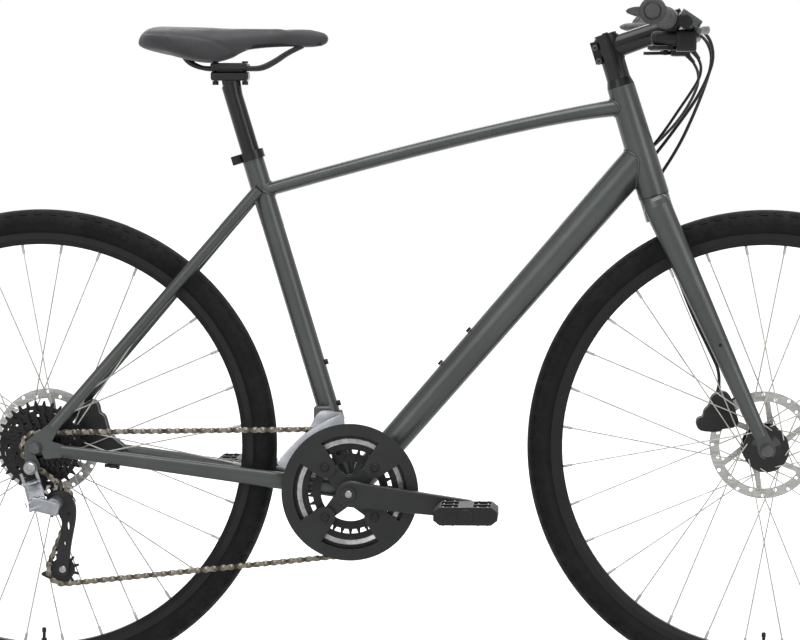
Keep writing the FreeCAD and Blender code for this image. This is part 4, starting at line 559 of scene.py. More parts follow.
def camera():
    data = bpy.data.cameras.new("camera")
    data.sensor_width = 36.0
    data.lens = camera_lens
    item = linked("camera", data)
    aimed(item, camera_place, camera_target)
    bpy.context.scene.camera = item


pale_floor()
white_world()
lamp("top_box", (0.0, -0.6, 3.2), (0, 0, 0.5), (3.0, 2.0), 85)
lamp("front_box", (-1.6, -3.6, 1.8), (0, 0, 0.6), (2.0, 2.0), 30)
lamp("side_box", (2.4, -2.4, 1.6), (0, 0, 0.6), (1.5, 2.0), 28)
lamp("back_box", (0.0, 3.0, 2.2), (0, 0, 0.6), (3.0, 1.5), 35)
camera()
bpy.context.scene.view_settings.view_transform = "Standard"

# Cables
bar_height = 0.6184
stem_reach = 0.1014
bar_straight_half = 0.080
bar_end_offset = Vector((-0.040, 0.230, 0.010))
down_tube_height = 0.450
hose_radius = 0.0025
housing_radius = 0.00225
hose_straight = 0.030
housing_straight = 0.025
running_gap = 0.0003
bar_bend = steer_point(bar_height, stem_reach, bar_straight_half)
bar_end = bar_bend + bar_end_offset
bar_slope = bar_end_offset.normalized()
shifter_heading = Vector((0.64, -0.29, -0.71)).normalized()
blade_top = steer_point(0.374)
blade_foot = front_hub + Vector((-0.008, 0, 0.019))
front_inlet = front_hub + Vector((-0.069, 0.0495, 0.066))


def bar_point(side, ahead=0.0, above=0.0):
    """A point given from the bar's middle line, out to the left."""
    along = (side - bar_straight_half) / bar_slope.y
    return bar_bend + bar_slope * along + forward * ahead + up * above


def near_bar(height, reach, side):
    return steer_point(bar_height + height, stem_reach + reach, side)


def near_down_tube(height, reach, side):
    return steer_point(down_tube_height + height, reach, side)


def right_side(spot):
    return Vector((spot.x, -spot.y, spot.z))


lever_outlet = bar_point(0.103, 0.028, -0.004)
shifter_outlet = bar_point(0.112, 0.024, -0.036)


def hose_start():
    """The left lever's outlet and the end of the straight run from it."""
    start = lever_outlet - bar_slope * running_gap
    return [start, start - bar_slope * hose_straight]


def housing_start():
    """The left shifter's outlet and the end of the straight run from it."""
    return [shifter_outlet + shifter_heading * run for run in (running_gap, housing_straight)]


def on_right(spots):
    return [right_side(spot) for spot in spots]


# Name, start, radius and length, then points from the bar and from the down tube
cable_runs = (
    ("rear_brake_hose", on_right(hose_start()), hose_radius, 0.395,
     ((-0.032, 0.042, -0.054), (-0.062, 0.040, -0.040), (-0.088, 0.022, -0.024),
      (-0.114, -0.003, -0.004), (-0.142, -0.039, 0.022)),
     ((0, 0.027, 0.043), (-0.027, -0.014, 0.043), (-0.047, -0.052, 0.030),
      (-0.063, -0.075, 0.012))),
    ("rear_shift_housing", on_right(housing_start()), housing_radius, 0.322,
     ((-0.082, 0.012, -0.086), (-0.100, -0.007, -0.054), (-0.120, -0.031, -0.016),
      (-0.138, -0.052, 0.012)),
     ((0.011, 0.024, 0.032), (-0.010, -0.010, 0.038), (-0.023, -0.041, 0.030),
      (-0.032, -0.061, 0.012))),
    ("front_shift_housing", housing_start(), housing_radius, 0.269,
     ((-0.086, 0.016, 0.091), (-0.110, -0.004, 0.076), (-0.134, -0.032, 0.062)),
     ((0.012, 0.030, 0.050), (-0.002, -0.004, 0.045), (-0.007, -0.028, 0.032),
      (-0.016, -0.050, 0.012))),
)
front_hose_spots = ((-0.032, 0.042, 0.055), (-0.062, 0.042, 0.048), (-0.096, 0.020, 0.048),
                    (-0.135, -0.011, 0.052), (-0.174, -0.046, 0.060))
# Share of the way down the blade, distance behind it and distance to the left
blade_spots = ((-0.08, -0.008, 0.072), (0.04, 0.0, 0.075), (0.18, 0.009, 0.076),
               (0.34, 0.016, 0.075), (0.5, 0.019, 0.073), (0.64, 0.017, 0.069),
               (0.76, 0.016, 0.060))
# Distance along the cable, and beyond its radius
sleeve_steps = ((0, 0.0022), (0.006, 0.0022), (0.007, 0.0014), (0.0085, 0.0019), (0.010, 0.0014),
                (0.022, 0.0004))
grommet_steps = ((0, 0.0010), (0.001, 0.0021), (0.004, 0.0026), (0.006, 0.0016))


def routed(name, spots, radius):
    """A cable on one smooth line, as a tube and the points that it follows."""
    line = bpy.data.curves.new(name, "CURVE")
    line.dimensions = "3D"
    spline = line.splines.new("NURBS")
    spline.points.add(len(spots) - 1)
    for point, spot in zip(spline.points, spots):
        point.co = (*spot, 1)
    spline.order_u = 3
    spline.use_endpoint_u = True
    spline.resolution_u = 10
    piece = linked(name, line)
    path = [vert.co.copy() for vert in bpy.data.meshes.new_from_object(piece).vertices]
    line.bevel_depth = radius
    line.bevel_resolution = 3
    line.use_fill_caps = True
    chosen(piece)
    bpy.ops.object.convert(target="MESH")
    return mended(bpy.context.object), path


def around_cable(name, spot, way, radius, steps):
    """A closed round fitting on a cable."""
    profile = [(along, radius + beyond) for along, beyond in steps]
    return turned(name, spot, way, [(0, 0), *profile, (steps[-1][0], 0)], 18)


def end_sleeve(name, path, radius):
    """Tapered boot and nut where a cable leaves its lever or shifter."""
    piece = around_cable(name, path[0], path[3] - path[0], radius, sleeve_steps)
    return dressed(piece, "fork", moulded_black)


def entry_grommet(name, path, radius):
    """Rubber ring where a cable goes into the down tube."""
    piece = around_cable(name, path[-6], path[-1] - path[-6], radius, grommet_steps)
    return dressed(piece, "frame", grip_rubber)


def frame_cables():
    """Rear hose and both gear housings: the sleeve at one end turns with the bar, the grommet at
    the other stays on the frame.
    """
    made = []
    for name, start, radius, length, high_spots, low_spots in cable_runs:
        spots = start + [near_bar(*spot) for spot in high_spots]
        spots += [near_down_tube(*spot) for spot in low_spots]
        piece, path = routed(name, spots, radius)
        chosen(piece)
        bpy.ops.object.shade_smooth()
        piece.data.materials.clear()
        piece.data.materials.append(hose_black)
        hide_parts("frame_cables")
        on_it = [end_sleeve(name + "_sleeve", path, radius),
                 entry_grommet(name + "_grommet", path, radius)]
        made.append(piece)
    return made


def front_hose():
    """From the left lever, down the left of the head tube and the left blade to the caliper."""
    spots = hose_start() + [near_bar(*spot) for spot in front_hose_spots]
    for share, back, side in blade_spots:
        beside = blade_top.lerp(blade_foot, share)
        spots.append(Vector((beside.x - back, side, beside.z)))
    piece, path = routed("front_hose", spots + [front_inlet], hose_radius)
    dressed(piece, "fork", hose_black, 60)
    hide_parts("front_brake_hose")
    on_it = [end_sleeve("front_hose_sleeve", path, hose_radius),
             end_sleeve("front_hose_fitting", path[::-1], hose_radius)]


bent_cables = frame_cables()
front_hose()


# Tyres
tyre_low, tyre_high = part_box("front_tyre")
tyre_radius = (tyre_high.z - tyre_low.z) / 2
tyre_half_width = (tyre_high.y - tyre_low.y) / 2
tread_segments = 96
tread_columns = 24
tread_rows = 6
tread_depth = 0.0011
tread_skew = 0.35
block_inset = 0.0004
tyre_wall = 0.0022
centre_rib = math.radians(8)
section_reach = math.radians(157)
# Rows that stand up in each column, counted from the middle
tread_blocks = {2: (1, 2, 3), 3: (1, 2, 3), 5: (2, 3, 4), 6: (2, 3, 4)}


def tread_place(grid):
    """Takes a flat grid, one unit across, to one slice of the tyre round the origin."""
    bow = grid.x * 2 * section_reach
    skew = tread_skew * math.cos(min(abs(bow), math.pi / 2)) / tread_segments
    turn = 2 * math.pi * (grid.y / tread_segments + skew)
    round_radius = tyre_half_width - (tread_depth if abs(bow) > centre_rib else 0)
    reach = tyre_radius - tyre_half_width + round_radius * math.cos(bow)
    return Vector((reach * math.sin(turn), round_radius * math.sin(bow), -reach * math.cos(turn)))


def tread_slice():
    """One slice of the tyre with its raised blocks."""
    piece = started("tyre_slice", bpy.ops.mesh.primitive_grid_add, size=1,
                    x_subdivisions=tread_columns, y_subdivisions=tread_rows)
    marks = set()
    half = tread_columns // 2
    for face in piece.data.polygons:
        column = int((face.center.x + 0.5) * tread_columns)
        row = int((face.center.y + 0.5) * tread_rows)
        from_middle = column - half if column >= half else half - 1 - column
        if row in tread_blocks.get(from_middle, ()):
            marks.add(face.index)
    shaped(piece, tread_place)
    opened(piece)
    pick(piece, lambda face: face.index in marks)
    bpy.ops.mesh.inset(thickness=block_inset)
    bpy.ops.mesh.extrude_region_shrink_fatten(TRANSFORM_OT_shrink_fatten={"value": tread_depth})
    alone()
    return piece


def tyre():
    """The slice repeated round the wheel, given a wall and closed."""
    piece = tread_slice()
    opened(piece, "SELECT")
    share = (tread_segments - 1) / tread_segments
    bpy.ops.mesh.spin(steps=tread_segments - 1, dupli=True, angle=2 * math.pi * share,
                      center=(0, 0, 0), axis=(0, 1, 0))
    mended(piece, 0.00002)
    worked(piece, "SOLIDIFY", thickness=tyre_wall, offset=-1)
    return piece


def tyres():
    first = tyre()
    second = linked("rear", first.data.copy())
    for piece, end, hub in ((first, "front", front_hub), (second, "rear", rear_hub)):
        piece.name = end + "_tyre_tread"
        shaped(piece, lambda spot: spot + hub)
        dressed(piece, end + "_wheel", tyre_rubber, 40)
        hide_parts(end + "_tyre")


valve_depth = 0.040
stem_radius = 0.0026
thread_root = 0.0022
thread_start = 0.020
thread_pitch = 0.0014
thread_turns = 6
valve_nut = ((0.016, stem_radius), (0.016, 0.0042), (0.019, 0.0042), (0.019, stem_radius))
valve_cap = ((0.0285, 0.0032), (0.034, 0.0032), (0.0355, 0.0022), (0.0355, 0))


def valves():
    """Threaded valve with its ring nut and cap, through the rim towards the hub."""
    profile = [(0, 0), (0, stem_radius), *valve_nut]
    for turn in range(thread_turns):
        base = thread_start + turn * thread_pitch
        profile += [(base, stem_radius), (base + thread_pitch / 2, thread_root)]
    for end, hub in (("front", front_hub), ("rear", rear_hub)):
        seat = hub - up * (tyre_radius - valve_depth)
        piece = turned(end + "_valve", seat, up, [*profile, *valve_cap], 16)
        dressed(piece, end + "_wheel", satin_black, 30)


tyres()
valves()

# Saddle
saddle_low, saddle_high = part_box("saddle_cushion")
saddle_reach = saddle_high - saddle_low
cover_voxel = 0.004
cover_pressure = 4.0
cloth_frames = 20
swell_cap = 0.0025
seam_depth = 0.0016
seam_width = 0.0022
seam_steps = 40
seam_side = 0.15
belly_share = 0.36
belly_width = 0.050
belly_drop = 0.010
edge_drop = 0.004
skirt_slope = 1.6
skirt_start = 0.35
skirt_half_width = 0.022
skirt_inset = 0.2
nose_share = 0.62
nose_drop = 0.010
nose_slope = 2.4
nose_start = 1.1
tail_share = 0.14
tail_slant = 0.022
tail_level = 0.35


def seam_line(share):
    """The wing panel's edge in side view: from the back, over the hip and down to the belly."""
    along = 0.04 + 0.44 * share ** 1.15
    height = 0.74 - 0.16 * share - 0.52 * share ** 5
    return saddle_low.x + along * saddle_reach.x, saddle_low.z + height * saddle_reach.z


def swollen(piece):
    """Blows the cover up a little from inside, each point by no more than the cap."""
    before = [vert.co.copy() for vert in piece.data.vertices]
    chosen(piece)
    cloth = piece.modifiers.new("cloth", "CLOTH")
    cloth.settings.use_pressure = True
    cloth.settings.uniform_pressure_force = cover_pressure
    cloth.settings.effector_weights.gravity = 0.0
    scene = bpy.context.scene
    for step in range(1, cloth_frames + 1):
        scene.frame_set(step)
    bpy.ops.object.modifier_apply(modifier=cloth.name)
    scene.frame_set(1)
    for vert, start in zip(piece.data.vertices, before):
        move = vert.co - start
        if move.length > swell_cap:
            vert.co = start + move * (swell_cap / move.length)
    piece.data.update()
    return piece


def seamed(piece):
    """Presses the wing panel's seam into both sides."""
    shares = [step / seam_steps for step in range(seam_steps + 1)]
    line = [Vector((x, 0, z)) for x, z in map(seam_line, shares)]
    normals = [vert.normal.copy() for vert in piece.data.vertices]
    for vert, normal in zip(piece.data.vertices, normals):
        if abs(normal.y) < seam_side:
            continue
        gap = min((Vector((vert.co.x, 0, vert.co.z)) - spot).length for spot in line)
        if gap < 3 * seam_width:
            vert.co -= normal * seam_depth * math.exp(-(gap / seam_width) ** 2)
    piece.data.update()
    return piece


def clipped(value):
    return max(0.0, min(1.0, value))


def skirted(piece):
    """Draws the lower sides into a belly, the nose's underside down and the tail's edge back."""
    belly = saddle_low.x + belly_share * saddle_reach.x
    for vert in piece.data.vertices:
        along = (vert.co.x - saddle_low.x) / saddle_reach.x
        depth = (saddle_high.z - vert.co.z) / saddle_reach.z
        from_belly = (vert.co.x - belly) / belly_width
        low_share = clipped(depth * skirt_slope - skirt_start)
        side_share = clipped(abs(vert.co.y) / skirt_half_width - skirt_inset)
        nose = max(0.0, along - nose_share) / (1 - nose_share)
        tail = max(0.0, tail_share - along) / tail_share
        drop = edge_drop + belly_drop * math.exp(-from_belly ** 2)
        under_nose = clipped(nose_slope * depth - nose_start) * nose ** 2 * (3 - 2 * nose)
        vert.co.z -= drop * low_share * side_share + nose_drop * under_nose
        vert.co.x -= tail_slant * (depth - tail_level) * tail
    piece.data.update()
    return piece


def saddle():
    piece = copied("saddle_cushion", "saddle_cover")
    worked(piece, "REMESH", mode="VOXEL", voxel_size=cover_voxel)
    worked(piece, "SMOOTH", factor=0.5, iterations=6)
    skirted(piece)
    swollen(piece)
    worked(piece, "SMOOTH", factor=0.5, iterations=8)
    worked(piece, "SUBSURF", levels=1, render_levels=1)
    seamed(piece)
    dressed(piece, "seat", saddle_cover, 60)
    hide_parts("saddle_cushion")


saddle()

# Grips
grip_length = 0.132
grip_radius = 0.016
grip_voxel = 0.0012
rib_pitch = 0.0052
rib_height = 0.0007
rib_start = 0.014
rib_end = grip_length - 0.022
lock_overlap = 0.001
cap_lift = 0.0011
lock_outline = ((0, 0.0113), (0, 0.0150), (0.001, 0.0164), (0.008, 0.0164), (0.009, 0.0150),
                (0.009, 0.0113))
flange_outline = ((-0.008, 0.0160), (-0.006, 0.0186), (-0.001, 0.0192), (0.0006, 0.0180),
                  (0.0006, 0.0124), (-0.008, 0.0124))
cap_outline = ((0, 0), (0, 0.0118), (0.0008, 0.0122), (0.0020, 0.0112), (0.0014, 0.0096),
               (0.0016, 0.0060), (0.0019, 0))


def grip_ribs(piece, inner, way):
    """Raises soft ribs round the middle of a grip."""
    for vert in piece.data.vertices:
        along = (vert.co - inner).dot(way)
        away = vert.co - inner - way * along
        if rib_start < along < rib_end and away.length > grip_radius * 0.8:
            lift = 0.5 + 0.5 * math.cos(2 * math.pi * along / rib_pitch)
            vert.co += away.normalized() * rib_height * lift
    piece.data.update()


def grips():
    """Soft rubber grips with ribs, lock rings, flanges and end caps."""
    whole = copied("grips", "grip_left")
    worked(whole, "REMESH", mode="VOXEL", voxel_size=grip_voxel)
    worked(whole, "SMOOTH", factor=0.5, iterations=8)
    opened(whole)
    pick(whole, lambda face: face.calc_center_median().y < 0)
    bpy.ops.mesh.separate(type="SELECTED")
    alone()
    items = bpy.context.scene.objects
    other = next(item for item in items if item.name.startswith("grip_left."))
    other.name = "grip_right"
    for piece, outward in ((whole, Vector), (other, right_side)):
        side = piece.name.split("_")[1]
        way = outward(bar_slope)
        end = outward(bar_end)
        inner = end - way * grip_length
        grip_ribs(piece, inner, way)
        dressed(piece, "fork", grip_rubber, 60)
        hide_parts("grips")
        lock = ring("grip_lock_" + side, inner - way * lock_overlap, way, lock_outline, 40)
        dressed(lock, "fork", gloss_black)
        flange = ring("grip_flange_" + side, end, way, flange_outline, 48)
        dressed(flange, "fork", grip_rubber, 60)
        button = turned("grip_cap_" + side, end + way * cap_lift, way, cap_outline, 40)
        dressed(button, "fork", hose_black)


grips()

# Chain
outer_link_width = 0.005
cage_margin = 0.012


def chain():
    """Outer links in nickel and inner links darker, with the run over the pulleys on the cage."""
    whole = copied("chain", "chain_link")
    chosen(whole)
    bpy.ops.mesh.separate(type="LOOSE")
    groups = {}
    items = bpy.context.scene.objects
    for link in [item for item in items if item.name.startswith("chain_link")]:
        spots = [vert.co for vert in link.data.vertices]
        wide = max(spot.y for spot in spots) - min(spot.y for spot in spots)
        middle = sum(spots, Vector()) / len(spots)
        below = middle.z < guide_centre.z - cage_margin
        on_cage = below and middle.x < tension_centre.x + cage_margin
        groups.setdefault((wide > outer_link_width, on_cage), []).append(link)
    for (outer, on_cage), links in groups.items():
        name = ("outer" if outer else "inner") + "_links" + ("_on_cage" if on_cage else "")
        piece = joined(name, links)
        finish = chain_nickel if outer else chain_dark
        dressed(piece, "derailleur_cage" if on_cage else "frame", finish, 30)
        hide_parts("chain")


chain()

# Welds
bead_radius = 0.0021
sharp_edge = 0.5
shell_weld_height = 0.022
# Name, tube, its low or high end, way in from that corner of its box, and reach
tube_welds = (("weld_top_head", "top_tube", 1, (-0.010, -0.020), 0.045),
              ("weld_top_seat", "top_tube", 0, (0.010, 0.020), 0.045),
              ("weld_down_head", "down_tube", 1, (-0.020, -0.030), 0.060),
              ("weld_down_shell", "down_tube", 0, (0.020, 0.020), 0.055))


def run_length(spline):
    spots = [point.co.to_3d() for point in spline.points]
    return sum((after - before).length for before, after in zip(spots, spots[1:]))


def weld(name, node, place, reach):
    """A smooth bead along the longest edge of a tube's end, near the joint."""
    source = copied(node, name + "_source")
    near = Vector(place)

    def on_end(edge):
        middle = (edge.verts[0].co + edge.verts[1].co) / 2
        inside = (middle - near).length < reach and len(edge.link_faces) == 2
        return inside and edge.calc_face_angle() > sharp_edge

    opened(source)
    pick(source, on_end, "edges")
    bpy.ops.mesh.duplicate()
    bpy.ops.mesh.separate(type="SELECTED")
    alone()
    items = bpy.context.scene.objects
    loops = next(item for item in items if item.name.startswith(name + "_source."))
    bpy.data.objects.remove(source)
    loops.name = name
    chosen(loops)
    bpy.ops.object.convert(target="CURVE")
    line = loops.data
    longest = max(line.splines, key=run_length)
    for spline in [item for item in line.splines if item != longest]:
        line.splines.remove(spline)
    line.bevel_depth = bead_radius
    line.bevel_resolution = 3
    chosen(loops)
    bpy.ops.object.convert(target="MESH")
    piece = mended(bpy.context.object)
    worked(piece, "SMOOTH", factor=0.5, iterations=4)
    dressed(piece, "frame", frame_paint, 80)


def welds():
    for name, node, end, (ahead, above), reach in tube_welds:
        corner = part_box(node)[end]
        weld(name, node, (corner.x + ahead, 0, corner.z + above), reach)
    weld("weld_seat_shell", "seat_tube", bottom_bracket + seat_axis * shell_weld_height, 0.040)


welds()

# Chainrings
web_depth = 0.0125
web_inner = 0.0625
web_outer = 0.0865
bevel_inner = 0.0715
bevel_outer = 0.0790
web_outline = ((0, web_inner), (0.0015, web_inner - 0.0005), (0.0020, web_inner + 0.001),
               (0.0020, web_outer), (0, web_outer))
bevel_outline = ((-0.0004, bevel_inner), (-0.0006, bevel_inner + 0.002),
                 (-0.0022, bevel_outer - 0.001), (-0.0018, bevel_outer), (0.0002, bevel_outer),
                 (0.0002, bevel_inner))


def ring_web():
    """Dark web of the large ring behind the guard's windows, with its polished bevel."""
    face = bottom_bracket + left * (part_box("chain_guard")[0].y + web_depth)
    web = ring("large_ring_web", face, left, web_outline, 96)
    dressed(web, "crankset", cog_black)
    bevel = ring("large_ring_bevel", face, left, bevel_outline, 96)
    dressed(bevel, "crankset", bolt_steel)


ring_web()

# Rear derailleur, with outlines in millimetres from the tension pulley's centre
cage_outline = ((9, -6), (9.5, 8), (9, 19), (13, 45), (18, 69), (19.5, 88), (16, 104), (8, 114),
                (-2, 117), (-14, 113), (-20, 104), (-21, 95), (-15, 87), (-5, 82), (0, 72),
                (-1, 58), (-5, 40), (-8, 22), (-10, 8), (-10, -4), (-6, -9), (2, -10))
hook_outline = ((-36, -8), (-24, -14), (-8, -21), (8, -20), (12, -10), (9, 4), (2, 10), (-6, 8),
                (-10, 0), (-22, -2))
# Middle of each slot and its half width and half height
cage_slots = ((8.5, 64, 2.6, 8.0), (9.5, 83, 2.0, 2.4), (3.0, 38, 2.0, 4.5))
cage_plate_inset = 0.0015
case_inset = 0.08
case_crown = 0.06
link_case = (0.040, 0.026, 0.009)
body_case = (0.042, 0.020, 0.016)
hanger_shift = (-0.002, 0.012)
body_shift = (0.012, 0.012, -0.006)
body_pin_reach = 0.016
stop_place = Vector((0.118, -0.062, -0.060))
stop_sink = 0.0012
stop_outline = ((0, 0), (0, 0.0045), (0.004, 0.0045), (0.005, 0.0034), (0.014, 0.0034),
                (0.015, 0.0026), (0.022, 0.0026), (0.022, 0))


def from_tension(outline):
    """Millimetres from the tension pulley's centre to the frame's metres."""
    return [(tension_centre.x + x / 1000, tension_centre.z + z / 1000) for x, z in outline]


def round_hole(x, z, wide, tall):
    """Control points of a rounded slot in the cage."""
    return from_tension([(x + wide * math.cos(turn), z + tall * math.sin(turn))
                         for turn in (index * math.pi / 4 for index in range(8))])


def rounded_case(name, centre, along, across, size, soft):
    """A moulded case: a block set along two directions, drawn in at its top and rounded."""
    along = Vector(along).normalized()
    third = along.cross(Vector(across)).normalized()
    across = third.cross(along)
    piece = started(name, bpy.ops.mesh.primitive_cube_add, size=1)
    opened(piece)
    pick(piece, lambda face: face.normal.z > 0.9)
    bpy.ops.mesh.inset(thickness=case_inset)
    bpy.ops.mesh.extrude_region_move(TRANSFORM_OT_translate={"value": (0, 0, case_crown)})
    alone()
    length, width, height = size
    shaped(piece, lambda spot: (centre + along * spot.x * length + across * spot.y * width
                                + third * spot.z * height))
    mended(piece)
    worked(piece, "BEVEL", width=soft, segments=1, limit_method="ANGLE")
    worked(piece, "SUBSURF", levels=2, render_levels=2)
    return piece


def derailleur_covers():
    """Cases over the link and the lower body, with the hanger's and the body's bolts."""
    knuckle = pivot("derailleur_shift")
    lower = pivot("derailleur_level")
    swing = axis_of("derailleur_shift")
    low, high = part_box("derailleur_knuckle")
    hanger = Vector((knuckle.x + hanger_shift[0], low.y, (low.z + high.z) / 2 + hanger_shift[1]))
    bolted("hanger_bolt", hanger, -left, (0.0085, 0.0035), "frame")
    link = rounded_case("link_cover", knuckle.lerp(lower, 0.5), lower - knuckle, swing, link_case,
                        0.003)
    dressed(link, "derailleur_link", bright_alloy)
    centre = Vector((lower.x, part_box("derailleur_body")[0].y, lower.z)) + Vector(body_shift)
    body = rounded_case("body_cover", centre, (1, 0, -0.25), up, body_case, 0.005)
    dressed(body, "derailleur_body", bright_alloy)
    bolted("body_pin_head", lower - swing * body_pin_reach, -swing, (0.0042, 0.0018),
           "derailleur_body")


def stay_stop():
    """Cable stop with its adjuster under the right chain stay."""
    stays = frame["nodes"]["chain_stays"]
    place = stays.closest_point_on_mesh(rear_hub + stop_place)[1] - up * stop_sink
    piece = turned("stay_cable_stop", place, Vector((-1, 0, 0.06)), stop_outline, 20)
    dressed(piece, "frame", moulded_black)


def derailleur_cage():
    """Curved side plates round the pulleys, with slots, a hook under the chain and the bolts."""
    low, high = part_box("derailleur_cage")
    inner_y = high.y - cage_plate_inset
    holes = [round_hole(*slot) for slot in cage_slots]
    for name, y in (("outer", low.y + cage_plate_inset), ("inner", inner_y)):
        piece = plate("cage_plate_" + name, from_tension(cage_outline), y, 0.0022, holes=holes)
        dressed(piece, "derailleur_cage", satin_black)
        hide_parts("derailleur_cage")
    hook = plate("cage_hook", from_tension(hook_outline), inner_y, 0.0024)
    dressed(hook, "derailleur_cage", satin_black)
    for name, centre in (("guide", guide_centre), ("tension", tension_centre)):
        seat = Vector((centre.x, low.y + 0.0004, centre.z))
        bolted("cage_bolt_" + name, seat, -left, (0.0052, 0.0016), "derailleur_cage")


derailleur_cage()
derailleur_covers()
stay_stop()

# Front derailleur
cage_start = math.radians(95)
cage_end = math.radians(160)
cage_steps = 13
band_inner = 0.092
band_outer = 0.108
band_flare = 0.008
plate_gap = 0.0118
plate_edge = 0.0010
plate_thickness = 0.0018
lug_height = 0.017
bridge_reach = 0.110
bridge_turn = cage_end - 0.03
bridge_radius = 0.0028
pin_turn = math.radians(110.4)
pin_spread = math.radians(9)
pin_reach = 0.1205
pin_radius = 0.0039
clamp_sink = 0.0006


def around_bracket(reach, turn, y):
    return Vector((bottom_bracket.x + reach * math.cos(turn), y,
                   bottom_bracket.z + reach * math.sin(turn)))


def guide_outline(lug):
    """A band that hugs the guard, a little wider at both ends, with a lug that takes the pin."""
    inner, outer = [], []
    for step in range(cage_steps):
        share = step / (cage_steps - 1)
        turn = cage_start + (cage_end - cage_start) * share
        reach = band_outer + band_flare * (2 * share - 1) ** 2
        reach += lug * math.exp(-((turn - pin_turn) / pin_spread) ** 2)
        outer.append(around_bracket(reach, turn, 0).xz)
        inner.append(around_bracket(band_inner, turn, 0).xz)
    return outer + inner[::-1]


def guide_bar(name, reach, turn, start, end, radius, finish):
    """A bar across the cage."""
    piece = rounded_bar(name, around_bracket(reach, turn, start), around_bracket(reach, turn, end),
                        radius)
    dressed(piece, "front_derailleur_cage", finish)


def front_guide():
    """Bright side plates round the chain, with the bridge at their tail and the clamp bolt."""
    low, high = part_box("front_derailleur_cage")
    outer_y = low.y + plate_edge
    inner_y = outer_y + plate_gap
    for name, y, lug in (("outer", outer_y, 0.0), ("inner", inner_y, lug_height)):
        piece = plate("guide_plate_" + name, guide_outline(lug), y, plate_thickness)
        dressed(piece, "front_derailleur_cage", bright_alloy)
        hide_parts("front_derailleur_cage")
    guide_bar("guide_bridge", bridge_reach, bridge_turn, outer_y, inner_y, bridge_radius,
              bright_alloy)
    guide_bar("guide_pin", pin_reach, pin_turn, inner_y, high.y, pin_radius, bolt_steel)
    low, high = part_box("front_derailleur")
    seat = Vector(((low.x + high.x) / 2, high.y - clamp_sink, (low.z + high.z) / 2))
    bolted("clamp_bolt", seat, left, (0.0045, 0.0025), "frame", satin_black)


front_guide()

# Cranks and pedals
crank_bolt_lift = 0.0028
ring_bolt_circle = 0.052
pedal_cap_sink = 0.0022
inner_rail = 0.0035
rim_rail = 0.0065
stud_places = (0.014, 0.028)
collar_outline = ((0, 0.0060), (0, 0.0112), (0.0012, 0.0108), (0.0014, 0.0094), (0.0006, 0.0062))
barrel_outline = ((0, 0), (0, 0.0105), (0.0012, 0.0108), (0.0020, 0.0096), (0.0016, 0.0070),
                  (0.0024, 0.0))
stud_outline = ((-0.001, 0), (-0.001, 0.0016), (0.0012, 0.0012), (0.0014, 0.0))


def crank_bolts():
    """Bolt in the dark recess at the end of each crank."""
    low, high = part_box("crank_arms")
    for side, y, way in (("right", low.y, -left), ("left", high.y, left)):
        seat = Vector((bottom_bracket.x, y, bottom_bracket.z)) + way * crank_bolt_lift
        collar = ring("crank_collar_" + side, seat, way, collar_outline, 32)
        dressed(collar, "crankset", crank_satin)
        bolted("crank_bolt_" + side, seat, way, (0.0056, 0.0016), "crankset", turns=24)


def ring_bolts():
    """Heads of the four bolts that hold the rings and the guard."""
    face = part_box("chain_guard")[0].y
    for index in range(4):
        turn = math.radians(45 + 90 * index)
        way = Vector((math.cos(turn), 0, math.sin(turn)))
        seat = bottom_bracket + way * ring_bolt_circle + left * face
        bolted("ring_bolt_" + str(index), seat, -left, (0.0062, 0.0008), "crankset", satin_black)


def pedal_trim():
    """Barrel cap and grip studs of each pedal."""
    for side, sign in (("right", -1), ("left", 1)):
        body = "pedal_" + side
        low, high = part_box(body)
        centre = pivot(body + "_spin")
        inner, outer = (high.y, low.y) if sign < 0 else (low.y, high.y)
        way = left * sign
        seat = Vector((centre.x, outer, centre.z)) - way * pedal_cap_sink
        cap = turned("pedal_cap_" + side, seat, way, barrel_outline, 32)
        dressed(cap, body, satin_black)
        first, last = inner + sign * inner_rail, outer - sign * rim_rail
        studs = []
        for x in [low.x + step for step in stud_places] + [high.x - step for step in stud_places]:
            for y in (first, (first + last) / 2, last):
                for height, turn in ((high.z, up), (low.z, -up)):
                    studs.append(turned("stud", Vector((x, y, height)), turn, stud_outline, 8))
        dressed(joined("pedal_studs_" + side, studs), body, bolt_steel)


crank_bolts()
ring_bolts()
pedal_trim()

# Brakes, with outlines in millimetres from the hub
rear_caliper_outline = ((48.0, -17.0), (44.1, 5.3), (43.2, 25.6), (48.3, 39.8), (56.5, 55.1),
                        (66.7, 62.6), (74.8, 56.1), (76.4, 42.0), (83.9, 39.0), (86.9, 27.8),
                        (91.9, 9.6), (103.0, 0.5), (115.2, -8.5), (115.1, -16.6))
front_caliper_outline = ((-76.1, 72.6), (-78.4, 58.3), (-86.9, 51.5), (-87.8, 40.6), (-96.3, 39.1),
                         (-98.2, 32.4), (-96.2, 26.7), (-90.5, 22.9), (-64.9, 22.1), (-63.1, 26.9),
                         (-46.0, 27.9), (-38.5, 33.6), (-42.3, 45.0), (-46.2, 58.4), (-51.0, 71.7),
                         (-57.6, 78.3), (-65.2, 77.4))
piston_outline = ((0, 0), (0, 0.0125), (0.0015, 0.0125), (0.0022, 0.0112), (0.0022, 0.0100),
                  (0.0014, 0.0096), (0.0014, 0.0060), (0.0026, 0.0050), (0.0026, 0))
rotor_clearance = 0.003
half_offset = 0.0100
half_thickness = 0.0125
bridge_thickness = 0.0120
piston_offset = 0.0160
arm_offset = 0.011
arm_radius = 0.0068


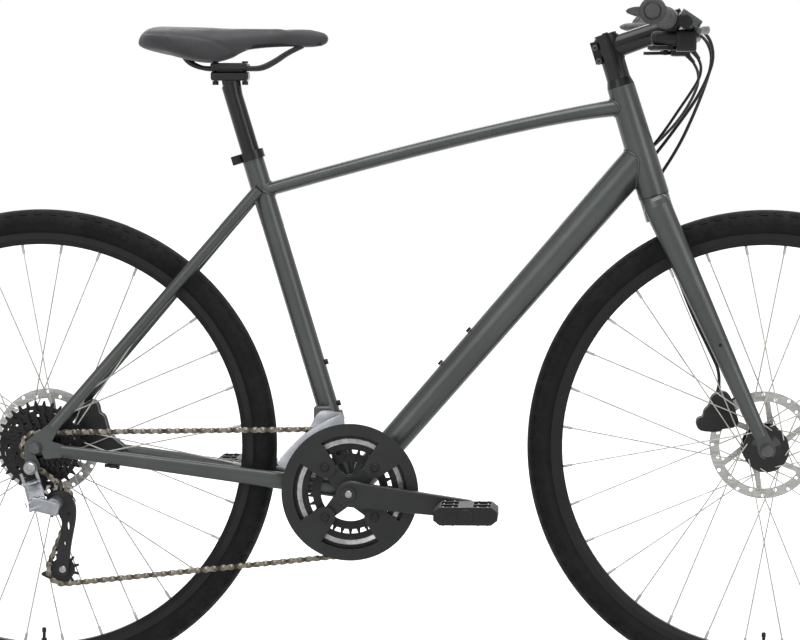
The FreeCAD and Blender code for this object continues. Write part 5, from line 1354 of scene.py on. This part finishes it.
def caliper_piece(end, body, hub, outline, cap_centre, arm):
    """Two halves astride the rotor, a bridge past its edge, an arm to the mount, a piston cap."""
    node = end + "_caliper"
    low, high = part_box(end + "_rotor")
    middle, edge = (low.y + high.y) / 2, (high.z - low.z) / 2 + rotor_clearance
    whole = [(hub.x + x / 1000, hub.z + z / 1000) for x, z in outline]
    beyond = []
    for x, z in outline:
        reach = max(math.hypot(x, z) / 1000, edge)
        turn = math.atan2(z, x)
        beyond.append((hub.x + reach * math.cos(turn), hub.z + reach * math.sin(turn)))
    halves = [plate(node + "_half", whole, middle + side * half_offset, half_thickness, 0.0025)
              for side in (-1, 1)]
    bridge = plate(node + "_bridge", beyond, middle, bridge_thickness, 0.0010)
    seat = Vector((hub.x + cap_centre[0], middle + piston_offset, hub.z + cap_centre[1]))
    button = turned(node + "_piston_cap", seat, left, piston_outline, 32)
    bar = rounded_bar(node + "_arm", Vector((seat.x, middle + arm_offset, seat.z)),
                      hub + Vector(arm), arm_radius)
    piece = joined(node + "_body", halves + [bridge, button, bar])
    dressed(piece, body, satin_black)
    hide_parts(node)


caliper_piece("rear", "frame", rear_hub, rear_caliper_outline, (0.064, 0.034),
              (0.099, 0.064, -0.006))
caliper_piece("front", "fork", front_hub, front_caliper_outline, (-0.066, 0.050),
              (-0.036, 0.054, 0.066))

# Cockpit
pinch_heights = (0.6214, 0.6009)
pinch_reach = -0.0205
pinch_half = 0.0125
pinch_radius = 0.0044
lid_case = (0.034, 0.056, 0.014)
nose_case = (0.030, 0.040, 0.030)
crown_top = 0.3880
head_tube_top = 0.5570
seal_bore = 0.0165


def stem_bolts():
    """Two pinch bolts across the back of the stem."""
    for index, height in enumerate(pinch_heights):
        name = "stem_pinch_bolt_" + str(index)
        middle = steer_point(height, pinch_reach)
        right, far = middle - left * pinch_half, middle + left * pinch_half
        bar = rounded_bar(name, right, far, pinch_radius)
        head = socket_bolt("head", right, -left, pinch_radius, 0.0020)
        dressed(joined(name, [bar, head]), "fork", lever_grey)


def control_covers():
    """Grey lid on each brake reservoir and the rounded nose of each shifter."""
    for side, outward in (("left", Vector), ("right", right_side)):
        lid = rounded_case("reservoir_lid_" + side, outward(bar_point(0.142, 0.029, 0.003)),
                           (0.83, 0, -0.56), outward(bar_slope), lid_case, 0.003)
        dressed(lid, "fork", lever_grey)
        nose = rounded_case("shifter_nose_" + side, outward(bar_point(0.124, 0.020, -0.028)),
                            forward, left, nose_case, 0.005)
        dressed(nose, "fork", moulded_black)


def headset_seals():
    """Dark rings that close the seams above and below the head tube."""
    for name, height, thick, radius in (("lower_seal", crown_top - 0.0002, 0.0011, 0.0226),
                                        ("upper_seal", head_tube_top - 0.0001, 0.0007, 0.0201)):
        outline = ((0, seal_bore), (0, radius), (thick, radius), (thick, seal_bore))
        piece = ring(name, steer_point(height), steer_axis, outline, 64)
        dressed(piece, "fork", moulded_black)


stem_bolts()
control_covers()
headset_seals()

# The end
for piece in bent_cables:
    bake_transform(piece)
